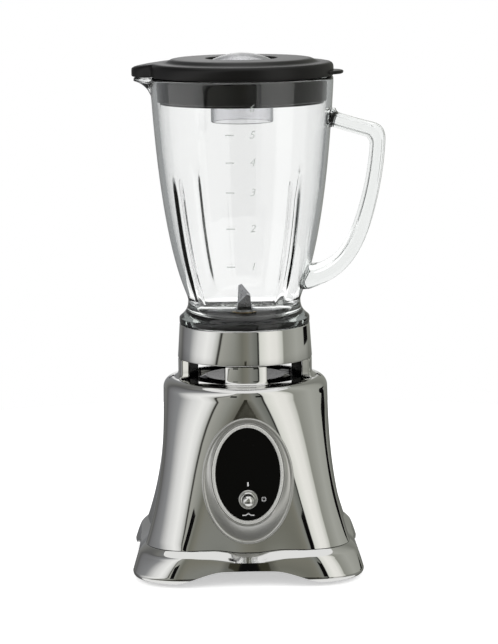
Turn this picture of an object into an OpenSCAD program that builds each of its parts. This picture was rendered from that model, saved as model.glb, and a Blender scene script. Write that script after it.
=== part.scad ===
// Countertop blender: chromed motor base, screw-on blade collar, glass jar, lid and filler cap.
// Millimetres. Z is the drive axis, Z = 0 is the table, the control panel faces -Y.

/* [Base housing] */
// Width of the shoulder, from the well to the edge of the round upper body
shoulder_w = 18.9; // [17:0.1:21]
// Half-width of the corner columns where the body meets the skirt
body_foot_half = 80.5; // [79:0.1:82.5]
// Height of the seam between body and skirt
seam_z = 27; // [25.5:0.1:28.5]
// How far the seam dips under the control panel
seam_dip = 2.6; // [0:0.1:3]
// Height of the flat shoulder
shoulder_z = 150; // [147:0.5:155]
// Radius of the rounded shoulder edge
shoulder_round = 8.5; // [6:0.5:10]
// How late the body flares: 1 is a straight cone
body_flare = 2.4; // [2:0.05:3.2]
// Radius of the body's corners at its foot, in plan
body_corner_r = 37.7; // [34:0.1:42]
// How far the middle of each side is dished at the foot
body_dish = 4.6; // [3.4:0.1:5.6]
// Wall thickness of the castings
cast_wall = 2.8; // [2.2:0.1:3.4]
// Thickness of the shoulder plate
shoulder_plate = 3; // [2.5:0.1:4]

/* [Posts and well] */
// Radius of the round opening in the shoulder
well_r = 45.5; // [44:0.1:46.4]
// Thickness of the posts at their top
post_wall = 7; // [6:0.1:8]
// Angle that each post spans
post_angle = 36; // [28:1:44]
// Height of the posts above the shoulder, up to where the collar rests
post_h = 14.6; // [12:0.2:18]
// Radius of the fillet between post and shoulder
post_fillet = 4.5; // [3:0.5:5]
// Thickness of the black uprights behind the posts
upright_wall = 6.7; // [4:0.1:7.5]
// How far the uprights stand above the posts, inside the collar
upright_rise = 7; // [3:0.5:8]
// Radius of the raised boss in the middle of the deck
boss_r = 31; // [29:0.5:33]
// Thickness of the deck
deck_wall = 3; // [2.4:0.1:3.6]

/* [Foot skirt] */
// How far the skirt stands out past the foot of the body at its widest
skirt_out = 10.4; // [9:0.1:12]
// How far the middle of each side lies in from the widest part
skirt_dish = 6.7; // [5:0.1:8]
// Height of the skirt's lower edge above the table, at the feet
skirt_z = 3; // [2:0.5:4]
// Height of the top of the arch on each side
arch_z = 11.7; // [9.5:0.1:12.5]
// Half-width of the flat top of an arch
arch_half = 19; // [14:1:26]
// Half-width of an arch at the feet
arch_foot = 58; // [52:1:62]
// Height of the outer edge of the ledge
ledge_z = 20.8; // [19.5:0.1:22]
// Radius of the skirt's corners, in plan
skirt_corner_r = 38; // [36:0.5:46]
// How far the skirt's lip stands up inside the body
skirt_lip = 3.6; // [3:0.2:5]

/* [Bottom cover and feet] */
// Thickness of the bottom cover
cover_wall = 2.5; // [2:0.1:3]
// How far in from the foot of the body each rubber foot lies, along X and along Y
foot_in = 24.5; // [23:0.1:28]
// Radius of a rubber foot
foot_r = 11; // [9:0.5:12.5]
// Height of a rubber foot
foot_h = 7; // [5.5:0.5:8]
// Radius of the cover screws
cover_screw_r = 2.2; // [1.8:0.1:2.6]

/* [Control panel] */
// Half-width of the oval surround
surround_w = 35.3; // [33:0.2:37]
// Half-height of the oval surround
surround_h = 48.5; // [46:0.1:49.5]
// How far the middle of the surround lies below the shoulder
surround_down = 70.8; // [69.5:0.1:73]
// How far the surround stands proud
surround_proud = 4.4; // [3.4:0.1:5.4]
// Width of the surround beside the bezel
surround_side = 7.8; // [6.5:0.1:9.5]
// Width of the surround above the bezel
surround_top = 4.5; // [3.6:0.1:6]
// How far the black plate sits above the middle of the surround
plate_up = 5.6; // [4.4:0.1:7]
// Width of the bright bezel ring
bezel_w = 2.6; // [2:0.1:3]
// How far the toggle sits below the middle of the surround
toggle_down = 13.7; // [11:0.1:16]
// Radius of the toggle's nut
nut_r = 7.3; // [6.8:0.1:8]
// Radius of the ball on the toggle lever
ball_r = 4.85; // [4:0.05:5.2]
// Height of the ball above the surround's seat
ball_out = 15; // [13:0.5:18]

/* [Motor] */
// Half-width of the laminated stator
stator_half = 37; // [34:0.5:38]
// How far the top of the stator's stack lies below the shoulder
stack_down = 47.5; // [46:0.5:50]
// Stack height of the stator
stack_h = 40; // [34:0.5:42]
// Radius of the armature core
armature_r = 20.5; // [18:0.25:21.5]
// Radius of the motor shaft
shaft_r = 4; // [3:0.25:4.5]
// Radius of the commutator
commutator_r = 11.5; // [10:0.5:13]
// Radius of the cooling fan
fan_r = 31; // [27:0.5:32]
// Width across the square drive stud
stud_w = 13; // [11:0.5:14]
// Height of the square drive stud
stud_h = 11.3; // [9:0.1:11.6]

/* [Collar and blades] */
// How far the collar's lower edge stands out past the posts
collar_proud = 0.2; // [0:0.1:1.5]
// How much narrower the collar is at its upper edge
collar_taper = 1.7; // [0.8:0.1:2.4]
// Height of the collar
collar_h = 26.8; // [25:0.2:29]
// Thickness of the collar's inner shelf
shelf_wall = 3; // [2.4:0.1:3.4]
// Radius of the blade shaft
blade_shaft_r = 4; // [3.5:0.25:4.5]
// Length of a lower blade, from the axis to its tip
lower_blade_r = 30; // [26:0.5:31]
// Length of an upper blade, from the axis to its tip
upper_blade_r = 27; // [22:0.5:29]
// Thickness of the blades
blade_t = 1.6; // [1.2:0.1:2]
// Radius of the driven coupling
coupling_r = 12.5; // [11.5:0.25:13]

/* [Glass jar] */
// How far the jar is turned on the base
jar_turn = -7; // [-30:0.5:30]
// Outer radius of the jar at its rim
rim_r = 71; // [70:0.2:73]
// Height of the jar from its waist to its rim
jar_h = 175.4; // [166:0.2:184]
// How far the jar draws in from its foot to its waist
waist_in = 7; // [5.5:0.1:8]
// Height of the waist above the jar's foot ring
waist_up = 11.4; // [9.6:0.1:14]
// Wall thickness of the jar
glass_wall = 4.4; // [3.8:0.1:5]
// Thickness of the jar's neck, which the collar holds
neck_wall = 9; // [8:0.1:10.4]
// How far the pouring lip reaches out past the rim
spout_out = 13.2; // [11:0.1:15]
// How far the handle reaches out past the rim
handle_out = 40; // [36:0.5:45]
// Depth of the flutes pressed into the wall
flute_depth = 2; // [1:0.1:2.6]
// Length of the flutes
flute_len = 104; // [70:1:115]
// Width of the handle
handle_w = 18; // [14:0.5:22]
// Thickness of the handle
handle_t = 11.4; // [10:0.2:13]

/* [Lid and filler cap] */
// How far the lid's brim stands out past the jar's rim
brim_over = 0.2; // [0:0.1:2.5]
// Thickness of the lid's brim
brim_h = 10.5; // [9:0.5:12]
// Width of the brim round the raised middle of the lid
crown_in = 14.2; // [11:0.1:20]
// Height of the raised middle above the brim
crown_h = 3.3; // [2.5:0.1:4.5]
// How deep the lid's plug reaches into the jar
plug_depth = 20; // [15:0.5:21]
// How far the lid's cover reaches out past the pouring lip
cover_over = 1.4; // [0.8:0.1:4]
// How far the lid's thumb tab reaches out past the brim
tab_out = 7.7; // [5:0.1:12]
// Outer radius of the filler cap's tube
cap_r = 24.3; // [20:0.1:26]
// Length of the filler cap's tube below the lid's seat
cap_depth = 43.8; // [36:0.2:48]
// Height of the cap's dome above the lid's crown
dome_h = 4; // [2.5:0.1:5]

/* [Hidden] */
$fn = 64;
gap = 0.3;           // between pieces that move apart
slip = 0.2;          // between pieces that are fitted together
eps = 0.01;
loft_n = 64;         // points round a lofted ring

// The base follows the well and the foot of the body, and what stands on it follows the posts.
body_top_r = well_r + shoulder_w;
post_r = well_r + post_wall;
post_top_z = shoulder_z + post_h;
skirt_half = body_foot_half + skirt_out;
skirt_mid_half = skirt_half - skirt_dish;
foot_xy = body_foot_half - foot_in;
surround_z = shoulder_z - surround_down;
plate_w = surround_w - surround_side - bezel_w;
plate_h = surround_h - surround_top - plate_up - bezel_w - 0.2;
stack_top = shoulder_z - stack_down;
stator_z = stack_top - stack_h;
collar_r = post_r + collar_proud;
collar_top_r = collar_r - collar_taper;

chrome = "#c9cacb";
satin = "#b4b5b6";
black = "#1b1b1c";
steel = "#9fa3a6";
copper = "#b5683a";
rubber = "#2a2a2b";
brass = "#b99a5b";
glass = "#dfe9e6";
clear = "#d8d6de";

// ---- shared shapes -----------------------------------------------------------------------------

// Radius of a rounded square: power 2 is a circle, a higher power is squarer.
function square_r(phi, half, power) =
    half / pow(pow(abs(cos(phi)), power) + pow(abs(sin(phi)), power), 1 / power);

// Radius of a square with rounded corners, from its half-width and the radius of its corners.
function round_square_r(phi, half, corner) =
    let (a = abs(cos(phi)), b = abs(sin(phi)), c = half - corner)
    min(a, b) * half <= max(a, b) * c ? half / max(a, b)
    : c * (a + b) + sqrt(corner * corner - c * c * (a - b) * (a - b));

// 1 in the middle of a side, 0 on the corner.
function mid_side(phi) = pow(cos(2 * phi), 2);

// Angles round a ring, closer together at the corners than in the middle of the sides.
function ring_angles() = [for (i = [0 : loft_n - 1]) let (a = 360 * i / loft_n) a + 6.5 * sin(4 * a)];

function quad(a, b, c, t) = (1 - t) * (1 - t) * a + 2 * (1 - t) * t * b + t * t * c;

function cubic(a, b, c, d, t) = (1 - t) * quad(a, b, c, t) + t * quad(b, c, d, t);

function oval(w, h, n = 96) = [for (i = [0 : n - 1]) [w * cos(360 * i / n), h * sin(360 * i / n)]];

// A closed skin through rings that follow each other and end at the first one again.
module looped_skin(rings) {
    n = len(rings[0]);
    m = len(rings);
    polyhedron(
        points = [for (r = rings) each r],
        faces = [for (j = [0 : m - 1], i = [0 : n - 1])
            let (a = j * n + i, b = j * n + (i + 1) % n,
                 c = ((j + 1) % m) * n + (i + 1) % n, d = ((j + 1) % m) * n + i)
            each [[a, c, b], [a, d, c]]]);
}

// A solid bar through rings, closed at both ends by a fan round the end ring's middle.
module capped_skin(rings) {
    n = len(rings[0]);
    m = len(rings);
    mids = [for (r = [rings[0], rings[m - 1]]) [for (k = [0 : 2]) let (v = [for (p = r) p[k]])
        v * [for (p = r) 1] / n]];
    polyhedron(
        points = concat([for (r = rings) each r], mids),
        faces = concat(
            [for (j = [0 : m - 2], i = [0 : n - 1])
                let (a = j * n + i, b = j * n + (i + 1) % n)
                each [[a, b, b + n], [a, b + n, a + n]]],
            [for (i = [0 : n - 1]) [m * n, (i + 1) % n, i]],
            [for (i = [0 : n - 1]) [m * n + 1, (m - 1) * n + i, (m - 1) * n + (i + 1) % n]]));
}

module ring(r_out, r_in, h) {
    difference() {
        cylinder(r = r_out, h = h);
        translate([0, 0, -1]) cylinder(r = r_in, h = h + 2);
    }
}

module four_corners(xy) {
    for (x = [-1, 1], y = [-1, 1]) translate([x * xy, y * xy, 0]) children();
}

// ---- base housing ------------------------------------------------------------------------------

shoulder_start = shoulder_z - shoulder_round;

// 0 at the shoulder, 1 at the seam.
function body_t(z) = min(1, max(0, (shoulder_start - z) / (shoulder_start - seam_z)));
function body_half(z) = body_top_r + (body_foot_half - body_top_r) * pow(body_t(z), body_flare);
// The corners are sharp at the seam and open into a circle at the shoulder.
function body_corner(z) = body_corner_r + (body_half(z) - body_corner_r) * pow(1 - body_t(z), 3);
function body_r(phi, z, inset) =
    round_square_r(phi, body_half(z) - inset, body_corner(z) - inset)
    - body_dish * pow(body_t(z), 2) * mid_side(phi);
function body_ring(z, inset) =
    [for (a = ring_angles()) let (r = body_r(a, z, inset)) [r * cos(a), r * sin(a), z]];
// The seam dips in the middle of the front, under the panel.
dip_half = 20;
function seam_at(phi) = seam_z - seam_dip
    * smooth(2 - 2 * abs((phi - 270) * PI / 180 * body_foot_half) / dip_half);
function smooth(t) = let (s = min(1, max(0, t))) s * s * (3 - 2 * s);
// Follows the body's outline along the seam, lifted by a clearance.
function seam_edge(inset, lift) = [for (a = ring_angles())
    let (r = body_r(a, seam_z, inset)) [r * cos(a), r * sin(a), seam_at(a) + lift]];
function round_ring(r, z) = [for (a = ring_angles()) [r * cos(a), r * sin(a), z]];
function shoulder_ring(edge_r, round_r, lift) =
    [for (k = [1 : 5]) let (a = 18 * k)
        round_ring(edge_r - round_r * (1 - cos(a)), shoulder_start + round_r * sin(a) + lift)];

housing_bottom = seam_z + gap;
body_levels = 12;
function level_z(k, low) = low + (shoulder_start - low) * k / body_levels;

housing_rings = concat(
    [seam_edge(0, gap)],
    [for (k = [1 : body_levels]) body_ring(level_z(k, housing_bottom), 0)],
    shoulder_ring(body_top_r, shoulder_round, 0),
    [round_ring(well_r, shoulder_z), round_ring(well_r, shoulder_z - shoulder_plate)],
    [for (k = [4 : -1 : 0]) let (a = 18 * k, r = shoulder_round - cast_wall)
        round_ring(body_top_r - cast_wall - r * (1 - cos(a)),
            shoulder_start + (shoulder_round - shoulder_plate) * sin(a))],
    [for (k = [body_levels - 1 : -1 : 1]) body_ring(level_z(k, housing_bottom), cast_wall)],
    [seam_edge(cast_wall, gap)]);

// One post, turned from its cross-section: upright inner wall, filleted foot on the shoulder.
module post_section() {
    foot_z = shoulder_z - 0.05;
    in_r = well_r + slip;
    polygon(concat(
        [[in_r, foot_z - 1], [post_r + post_fillet, foot_z - 1]],
        [for (k = [0 : 6]) let (a = 15 * k)
            [post_r + post_fillet * (1 - sin(a)), foot_z + post_fillet * (1 - cos(a))]],
        [[post_r, post_top_z - 0.8], [post_r - 0.8, post_top_z], [in_r, post_top_z]]));
}

module posts() {
    for (k = [0 : 3]) rotate([0, 0, 90 * k - post_angle / 2])
        rotate_extrude(angle = post_angle) post_section();
}

lug_r = 6.5;
lug_z = seam_z + skirt_lip + gap;
lug_h = 15.5;
corner = foot_xy * sqrt(2);           // distance of the corner screws from the axis
web_w = 4;
// A web between a corner screw's pillar and the middle of the wall, from its profile's outer points.
module corner_webs(outer) {
    for (k = [0 : 3]) rotate([90, 0, 90 * k + 45]) translate([0, 0, -web_w / 2]) linear_extrude(web_w)
        polygon(concat([[corner, outer[len(outer) - 1][1]], [corner, outer[0][1]]], outer));
}
motor_boss_r = 6;
motor_boss_z = shoulder_z - 20.5;
mount_r = well_r + motor_boss_r + gap;

panel_cut = 20;
module panel_opening() on_panel() translate([0, 0, -panel_cut]) linear_extrude(2 * panel_cut)
    polygon(oval(surround_w + slip, surround_h + slip));

module base_housing() color(chrome) difference() {
    union() {
        looped_skin(housing_rings);
        posts();
        four_corners(foot_xy) translate([0, 0, lug_z]) cylinder(r = lug_r, h = lug_h);
        corner_webs([for (z = [lug_z + eps : (lug_h - 1) / 3 : lug_z + lug_h - 0.5])
            [body_r(45, z, cast_wall / 2), z]]);
        for (k = [0 : 3]) rotate([0, 0, 90 * k]) translate([mount_r, 0, motor_boss_z])
            cylinder(r = motor_boss_r, h = shoulder_z - shoulder_plate - motor_boss_z + 1);
    }
    four_corners(foot_xy) translate([0, 0, lug_z - 1]) cylinder(r = cover_screw_r, h = lug_h - 2);
    for (k = [0 : 3]) rotate([0, 0, 90 * k]) translate([mount_r, 0, motor_boss_z - 1])
        cylinder(r = mount_screw_r, h = 12);
    panel_opening();
    translate([0, 0, inlet_z]) rotate([-90, 0, 0])
        cylinder(r = inlet_r, h = 2 * body_foot_half);
}

// ---- deck inside the posts ---------------------------------------------------------------------

deck_r = well_r - gap;
deck_top = shoulder_z - shoulder_plate - slip;
deck_low = deck_top - deck_wall;
boss_z = shoulder_z + 0.3;
boss_well_r = stud_w * 0.72 + 5;
seal_r = shaft_r + 5;

module deck() color(black) {
    difference() {
        rotate_extrude() polygon([
            [seal_r, deck_low], [well_r + 3.5, deck_low], [well_r + 3.5, deck_top],
            [boss_r + 7, deck_top], [boss_r + 5.5, deck_top + 1.2], [boss_r + 1, boss_z - 0.4],
            [boss_r, boss_z], [boss_well_r + 0.6, boss_z], [boss_well_r, boss_z - 0.6],
            [boss_well_r, deck_top], [seal_r, deck_top]]);
        for (k = [0 : 3]) rotate([0, 0, 90 * k]) translate([mount_r, 0, deck_low - 1])
            cylinder(r = motor_boss_r + slip, h = deck_wall + 2);
    }
    for (k = [0 : 3]) rotate([0, 0, 90 * k - post_angle / 2 + 1])
        rotate_extrude(angle = post_angle - 2) polygon([
            [deck_r - upright_wall, deck_top - 1], [deck_r, deck_top - 1],
            [deck_r, post_top_z + upright_rise - 2], [deck_r - 2, post_top_z + upright_rise],
            [deck_r - upright_wall, post_top_z + upright_rise - 4]]);
}

// A soft ring in the deck's middle that keeps spills off the motor.
module deck_seal() color(rubber) rotate_extrude() polygon([
    [shaft_r + gap, deck_top + 1.2], [shaft_r + gap, deck_low + 1.6], [shaft_r + 2.4, deck_low + 1.6],
    [shaft_r + 2.4, deck_low - 0.8], [seal_r - slip, deck_low - 0.8],
    [seal_r - slip, deck_top + 0.4], [seal_r - 1, deck_top + 1.2]]);

// ---- foot skirt --------------------------------------------------------------------------------

foot_level = skirt_z + 4.5;           // where the feet are widest
foot_swell = 0.65;
foot_round = 3.4;

// Height of the skirt's lower edge: an arch in the middle of each side, down to the feet.
function arch_u(phi) = min(abs(cos(phi)), abs(sin(phi))) / max(abs(cos(phi)), abs(sin(phi)))
    * skirt_mid_half;
function lower_edge(phi) = arch_z - (arch_z - skirt_z)
    * smooth((arch_u(phi) - arch_half) / (arch_foot - arch_half));

// Half-width of a foot's outer face at height z.
function foot_face(z) = z >= foot_level
    ? body_foot_half + (skirt_half - body_foot_half)
        * pow((seam_z - z) / (seam_z - foot_level), foot_swell)
    : skirt_half - foot_round
        * (1 - sqrt(1 - pow((foot_level - z) / (foot_level - skirt_z), 2) * 0.96));
function skirt_r(phi, z, inset) =
    let (w = pow(mid_side(phi), 1.2), half = foot_face(z) * (1 - w) + skirt_mid_half * w)
    round_square_r(phi, half - inset, skirt_corner_r - inset);

skirt_levels = 8;
function skirt_ring(k, inset) = [for (a = ring_angles())
    let (low = lower_edge(a), z = low + (ledge_z - low) * pow(k / skirt_levels, 1.3),
         r = skirt_r(a, z, inset))
    [r * cos(a), r * sin(a), z]];
// The lip that stands up inside the body.
function seam_ring(z, inset) = [for (a = ring_angles())
    let (r = body_r(a, z, inset)) [r * cos(a), r * sin(a), z]];
// The ledge is hollow in the middle of a side and bulges at the corners.
function ledge_ring(t) = [for (a = ring_angles())
    let (edge = skirt_r(a, ledge_z, 0), top = body_r(a, seam_z, 0),
         r = edge + (top - edge) * t,
         z = ledge_z + (seam_at(a) - ledge_z) * pow(t, 0.7 + 0.8 * mid_side(a)))
    [r * cos(a), r * sin(a), z]];

lip_out = cast_wall + slip;
lip_in = lip_out + 2.2;
skirt_rings = concat(
    [for (k = [0 : skirt_levels]) skirt_ring(k, 0)],
    [ledge_ring(0.3), ledge_ring(0.65), seam_edge(0, 0), seam_edge(lip_out, 0),
     seam_ring(seam_z + skirt_lip, lip_out), seam_ring(seam_z + skirt_lip, lip_in),
     seam_ring(seam_z - 3, lip_in)],
    [for (k = [6, 3, 0]) skirt_ring(k, cast_wall)]);

// Corner pillars take the long cover screws.
pillar_r = 7;
cover_top = arch_z + 4.3;

module foot_skirt() color(chrome) difference() {
    union() {
        looped_skin(skirt_rings);
        four_corners(foot_xy) translate([0, 0, cover_top + slip])
            cylinder(r = pillar_r, h = seam_z + skirt_lip - cover_top - slip);
        corner_webs([[skirt_r(45, cover_top + 1, cast_wall / 2), cover_top + 1],
            [skirt_r(45, ledge_z - 1, cast_wall / 2), ledge_z - 1],
            [body_r(45, seam_z, lip_out + 1), seam_z - 1]]);
    }
    four_corners(foot_xy) translate([0, 0, cover_top - 1])
        cylinder(r = cover_screw_r + slip, h = seam_z + skirt_lip - cover_top + 2);
    panel_opening();
}

// ---- bottom cover and feet ---------------------------------------------------------------------

cover_low = cover_top - cover_wall;
cover_half = skirt_mid_half - cast_wall - 1.2;
pad_r = foot_r + 1.5;

function cover_outline() = [for (a = ring_angles())
    round_square_r(a, cover_half, skirt_corner_r - cast_wall) * [cos(a), sin(a)]];

module bottom_cover() color(black) difference() {
    union() {
        translate([0, 0, cover_low]) linear_extrude(cover_wall) polygon(cover_outline());
        four_corners(foot_xy) translate([0, 0, foot_h])
            cylinder(r = pad_r, h = cover_low - foot_h + eps);
    }
    four_corners(foot_xy) translate([0, 0, -1])
        cylinder(r = cover_screw_r + slip, h = cover_top + 2);
    translate([0, 0, cover_low - 1]) linear_extrude(cover_wall + 2)
        for (k = [-3 : 3]) translate([0, 7 * k]) square([44, 3.2], center = true);
}

foot_recess_r = 5;
screw_head_h = 2.4;
screw_head_top = foot_h - 3;
module rubber_feet() color(rubber) four_corners(foot_xy) difference() {
    rotate_extrude() polygon([[0, 0], [foot_r - 1.2, 0], [foot_r, 1.2], [foot_r, foot_h], [0, foot_h]]);
    translate([0, 0, -1]) cylinder(r = foot_recess_r, h = 1 + screw_head_top + eps);
    translate([0, 0, -1]) cylinder(r = cover_screw_r + slip, h = foot_h + 2);
}

module cover_screws() color(steel) four_corners(foot_xy) difference() {
    union() {
        translate([0, 0, screw_head_top - screw_head_h])
            cylinder(r = foot_recess_r - 0.7, h = screw_head_h);
        translate([0, 0, screw_head_top - 1])
            cylinder(r = cover_screw_r - eps, h = lug_z + lug_h - 4 - screw_head_top);
    }
    for (a = [0, 90]) rotate([0, 0, a]) translate([-2.4, -0.5, screw_head_top - screw_head_h - 1])
        cube([4.8, 1, 2.2]);
}

// Where the mains lead would come in, low on the back.
inlet_z = seam_z + 16;
inlet_r = 6;
inlet_bore_r = 3.6;
grommet_room = 1.7;                   // room for the lean of the wall under the grommet's flanges
inlet_y = body_r(90, inlet_z, 0);
module cord_grommet() color(rubber) translate([0, inlet_y, inlet_z]) rotate([-90, 0, 0]) difference() {
    union() {
        translate([0, 0, grommet_room]) cylinder(r = inlet_r + 2.5, h = 2.2);
        translate([0, 0, -cast_wall - grommet_room - 1])
            cylinder(r = inlet_r - slip, h = cast_wall + 2 * grommet_room + 2);
        translate([0, 0, -cast_wall - grommet_room - 2]) cylinder(r = inlet_r + 1.8, h = 2);
    }
    translate([0, 0, -20]) cylinder(r = inlet_bore_r, h = 40);
}

// ---- control panel and toggle ------------------------------------------------------------------

// The panel's plane leans back with the front of the body.
panel_top_y = body_r(-90, surround_z + surround_h, 0);
panel_foot_y = body_r(-90, surround_z - surround_h, 0);
panel_lean = atan((panel_foot_y - panel_top_y) / (2 * surround_h));
panel_y = -(panel_top_y + panel_foot_y) / 2;

// Local Z points out of the panel, local Y runs up it.
module on_panel() {
    translate([0, panel_y, surround_z]) rotate([90 - panel_lean, 0, 0]) children();
}

module on_toggle() on_panel() translate([0, -toggle_down, 0]) children();

bezel_out_w = plate_w + bezel_w;
bezel_out_h = plate_h + bezel_w + 0.2;
surround_back = -6;
seat_lip = 3;

module panel_surround() color(satin) on_panel() difference() {
    union() {
        translate([0, 0, surround_back]) linear_extrude(1.2 - surround_back)
            polygon(oval(surround_w, surround_h));
        hull() {
            translate([0, 0, 1]) linear_extrude(0.2) polygon(oval(surround_w - 0.6, surround_h - 0.6));
            translate([0, plate_up, 1]) linear_extrude(surround_proud - 1)
                polygon(oval(bezel_out_w + 2, bezel_out_h + 2));
        }
    }
    translate([0, plate_up, 0]) linear_extrude(20)
        polygon(oval(bezel_out_w + slip, bezel_out_h + slip));
    translate([0, plate_up, surround_back - 1]) linear_extrude(20) polygon(
            oval(plate_w - seat_lip, plate_h - seat_lip));
}

module panel_bezel() color(chrome) on_panel() translate([0, plate_up, 0.1]) linear_extrude(
    surround_proud + 0.6) difference() {
    polygon(oval(bezel_out_w, bezel_out_h));
    polygon(oval(plate_w, plate_h));
}

plate_z = surround_proud - 1.4;
module control_panel() color(black) difference() {
    on_panel() translate([0, plate_up, 0.1]) linear_extrude(plate_z - 0.1)
        polygon(oval(plate_w - slip, plate_h - slip));
    on_toggle() translate([0, 0, -5]) cylinder(r = bushing_r + slip, h = 20);
}

bushing_r = 5.6;
bushing_top = plate_z + 3.2;
module toggle_bushing() color(chrome) on_toggle() rotate_extrude() polygon([
    [2.8, -4], [bushing_r, -4], [bushing_r, bushing_top - 0.6], [bushing_r - 0.6, bushing_top],
    [4.6, bushing_top], [2.8, 1.5]]);

module toggle_nut() color(satin) on_toggle() translate([0, 0, plate_z + gap / 3]) rotate_extrude()
    polygon([[bushing_r + slip / 2, 0], [nut_r, 0], [nut_r, 1.8], [nut_r - 0.7, 2.5],
        [bushing_r + slip / 2, 2.5]]);

switch_d = 16;
module switch_body() color(black) on_toggle() translate([0, 0, -4 - switch_d]) difference() {
    translate([-6.5, -10, 0]) cube([13, 20, switch_d - eps]);
    translate([0, 0, switch_d - 8]) cylinder(r = 2.8, h = 10);
}

module switch_terminals() color(brass) on_toggle() for (k = [-1 : 1])
    translate([-2.4, 6.5 * k - 0.4, -4 - switch_d - 6]) cube([4.8, 0.8, 6]);

toggle_pivot = -1.5;                 // local height of the lever's pivot
module toggle_lever() color(chrome) on_toggle() union() {
    translate([0, 0, toggle_pivot]) sphere(r = 2.5);
    rotate_extrude() polygon([
        [0, toggle_pivot - 4.5], [1.3, toggle_pivot - 4.5], [1.5, toggle_pivot], [1.9, 1],
        [2.6, ball_out - 3], [0, ball_out - 2]]);
    translate([0, 0, ball_out]) sphere(r = ball_r);
}

// ---- motor -------------------------------------------------------------------------------------

bolt_xy = stator_half - 9;
bolt_r = 2.1;
leg_r = 4.8;
stator_bore = armature_r + 0.7;
coil_out = stator_half - 4.5;
coil_h = 8;

module stator_core() color(steel) translate([0, 0, stator_z]) linear_extrude(stack_h) difference() {
    intersection() {
        square(2 * stator_half, center = true);
        circle(r = stator_half + 8);
    }
    circle(r = stator_bore);
    for (s = [-1, 1]) rotate([0, 0, 90 + 90 * s]) difference() {
        translate([0, -16]) square([coil_out, 32]);
        circle(r = stator_bore + 2.4);
    }
    for (x = [-1, 1], y = [-1, 1]) translate([x * bolt_xy, y * bolt_xy]) circle(r = bolt_r + slip);
}

// Two saddle coils: their sides fill the slots, their ends arch over the stack.
module field_coils() color(copper) for (s = [0, 1]) rotate([0, 0, 180 * s]) {
    translate([0, 0, stator_z - coil_h]) for (m = [0, 1]) mirror([0, m, 0]) linear_extrude(
        stack_h + 2 * coil_h) difference() {
        intersection() {
            translate([12, 4]) square([coil_out - 12.4, 11.6]);
            circle(r = coil_out - 0.4);
        }
        circle(r = stator_bore + 2.8);
    }
    for (z = [stator_z - coil_h + 0.4, stack_top + slip]) translate([0, 0, z]) rotate([0, 0, -32])
        rotate_extrude(angle = 64) translate([stator_bore + 3.2, 0])
            square([coil_out - stator_bore - 4.2, coil_h - 0.6]);
}

// A cross-shaped bearing bracket with a hub and four legs that stand on the stator.
module bracket_cross(reach, width, h) {
    for (a = [0, 90]) rotate([0, 0, a]) translate([-reach, -width / 2, 0]) cube([2 * reach, width, h]);
}

bearing_r = 11;
bearing_h = 7;
hub_r = bearing_r + 3.6;
top_plate_z = motor_boss_z - 7;
plate_t = 4;
top_bearing_z = top_plate_z + 6;

module top_bracket() color(steel) difference() {
    union() {
        translate([0, 0, top_plate_z]) {
            bracket_cross(mount_r + 5, 13, plate_t);
            cylinder(r = hub_r, h = 14);
            rotate([0, 0, 45]) bracket_cross(bolt_xy * sqrt(2), 2 * leg_r - 1, plate_t - 0.6);
        }
        four_corners(bolt_xy) translate([0, 0, stack_top + eps])
            cylinder(r = leg_r, h = top_plate_z - stack_top);
    }
    translate([0, 0, top_bearing_z]) cylinder(r = bearing_r, h = 20);
    translate([0, 0, top_plate_z - 1]) cylinder(r = bearing_r - 3, h = 20);
    four_corners(bolt_xy) translate([0, 0, stack_top - 1]) cylinder(r = bolt_r, h = 40);
    for (k = [0 : 3]) rotate([0, 0, 90 * k]) translate([mount_r, 0, top_plate_z - 1])
        cylinder(r = mount_screw_r + slip, h = 20);
}

low_plate_drop = 22;                  // room for the brushes under the stator
low_plate_z = stator_z - low_plate_drop;
low_bearing_r = 9;
low_bearing_z = low_plate_z - 5;
module bottom_bracket() color(steel) difference() {
    union() {
        translate([0, 0, low_plate_z]) {
            rotate([0, 0, 45]) bracket_cross(bolt_xy * sqrt(2), 2 * leg_r - 1, 2.4);
            translate([-7, -holder_out - 1, 0]) cube([14, 2 * holder_out + 2, 3]);
        }
        translate([0, 0, low_bearing_z - 2]) cylinder(r = low_bearing_r + 3, h = bearing_h + 2.5);
        four_corners(bolt_xy) translate([0, 0, low_plate_z - 0.4])
            cylinder(r = leg_r, h = stator_z - low_plate_z + 0.4 - eps);
    }
    translate([0, 0, low_bearing_z]) cylinder(r = low_bearing_r, h = 20);
    translate([0, 0, low_bearing_z - 3]) cylinder(r = low_bearing_r - 3, h = 5);
    four_corners(bolt_xy) translate([0, 0, low_plate_z - 1]) cylinder(r = bolt_r + slip, h = 40);
}

module bracket_bolts() color(steel) four_corners(bolt_xy) {
    translate([0, 0, low_plate_z - 3.4]) cylinder(r = 3.6, h = 3 - eps);
    translate([0, 0, low_plate_z - 1]) cylinder(r = bolt_r - eps, h = top_plate_z - low_plate_z + 4);
}

mount_screw_r = 1.9;
module motor_mounts() color(rubber) for (k = [0 : 3]) rotate([0, 0, 90 * k])
    translate([mount_r, 0, top_plate_z + plate_t + eps])
        ring(motor_boss_r - 0.5, mount_screw_r + slip, motor_boss_z - top_plate_z - plate_t - 2 * eps);

module mount_screws() color(steel) for (k = [0 : 3]) rotate([0, 0, 90 * k])
    translate([mount_r, 0, top_plate_z]) {
        translate([0, 0, -2.4]) cylinder(r = 3.6, h = 2.4 - eps);
        translate([0, 0, -1]) cylinder(r = mount_screw_r - eps, h = motor_boss_z - top_plate_z + 9);
    }

module top_bearing() color(steel) translate([0, 0, top_bearing_z])
    ring(bearing_r - eps, shaft_r + eps, bearing_h);

module bottom_bearing() color(steel) translate([0, 0, low_bearing_z])
    ring(low_bearing_r - eps, shaft_r + eps, bearing_h);

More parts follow.
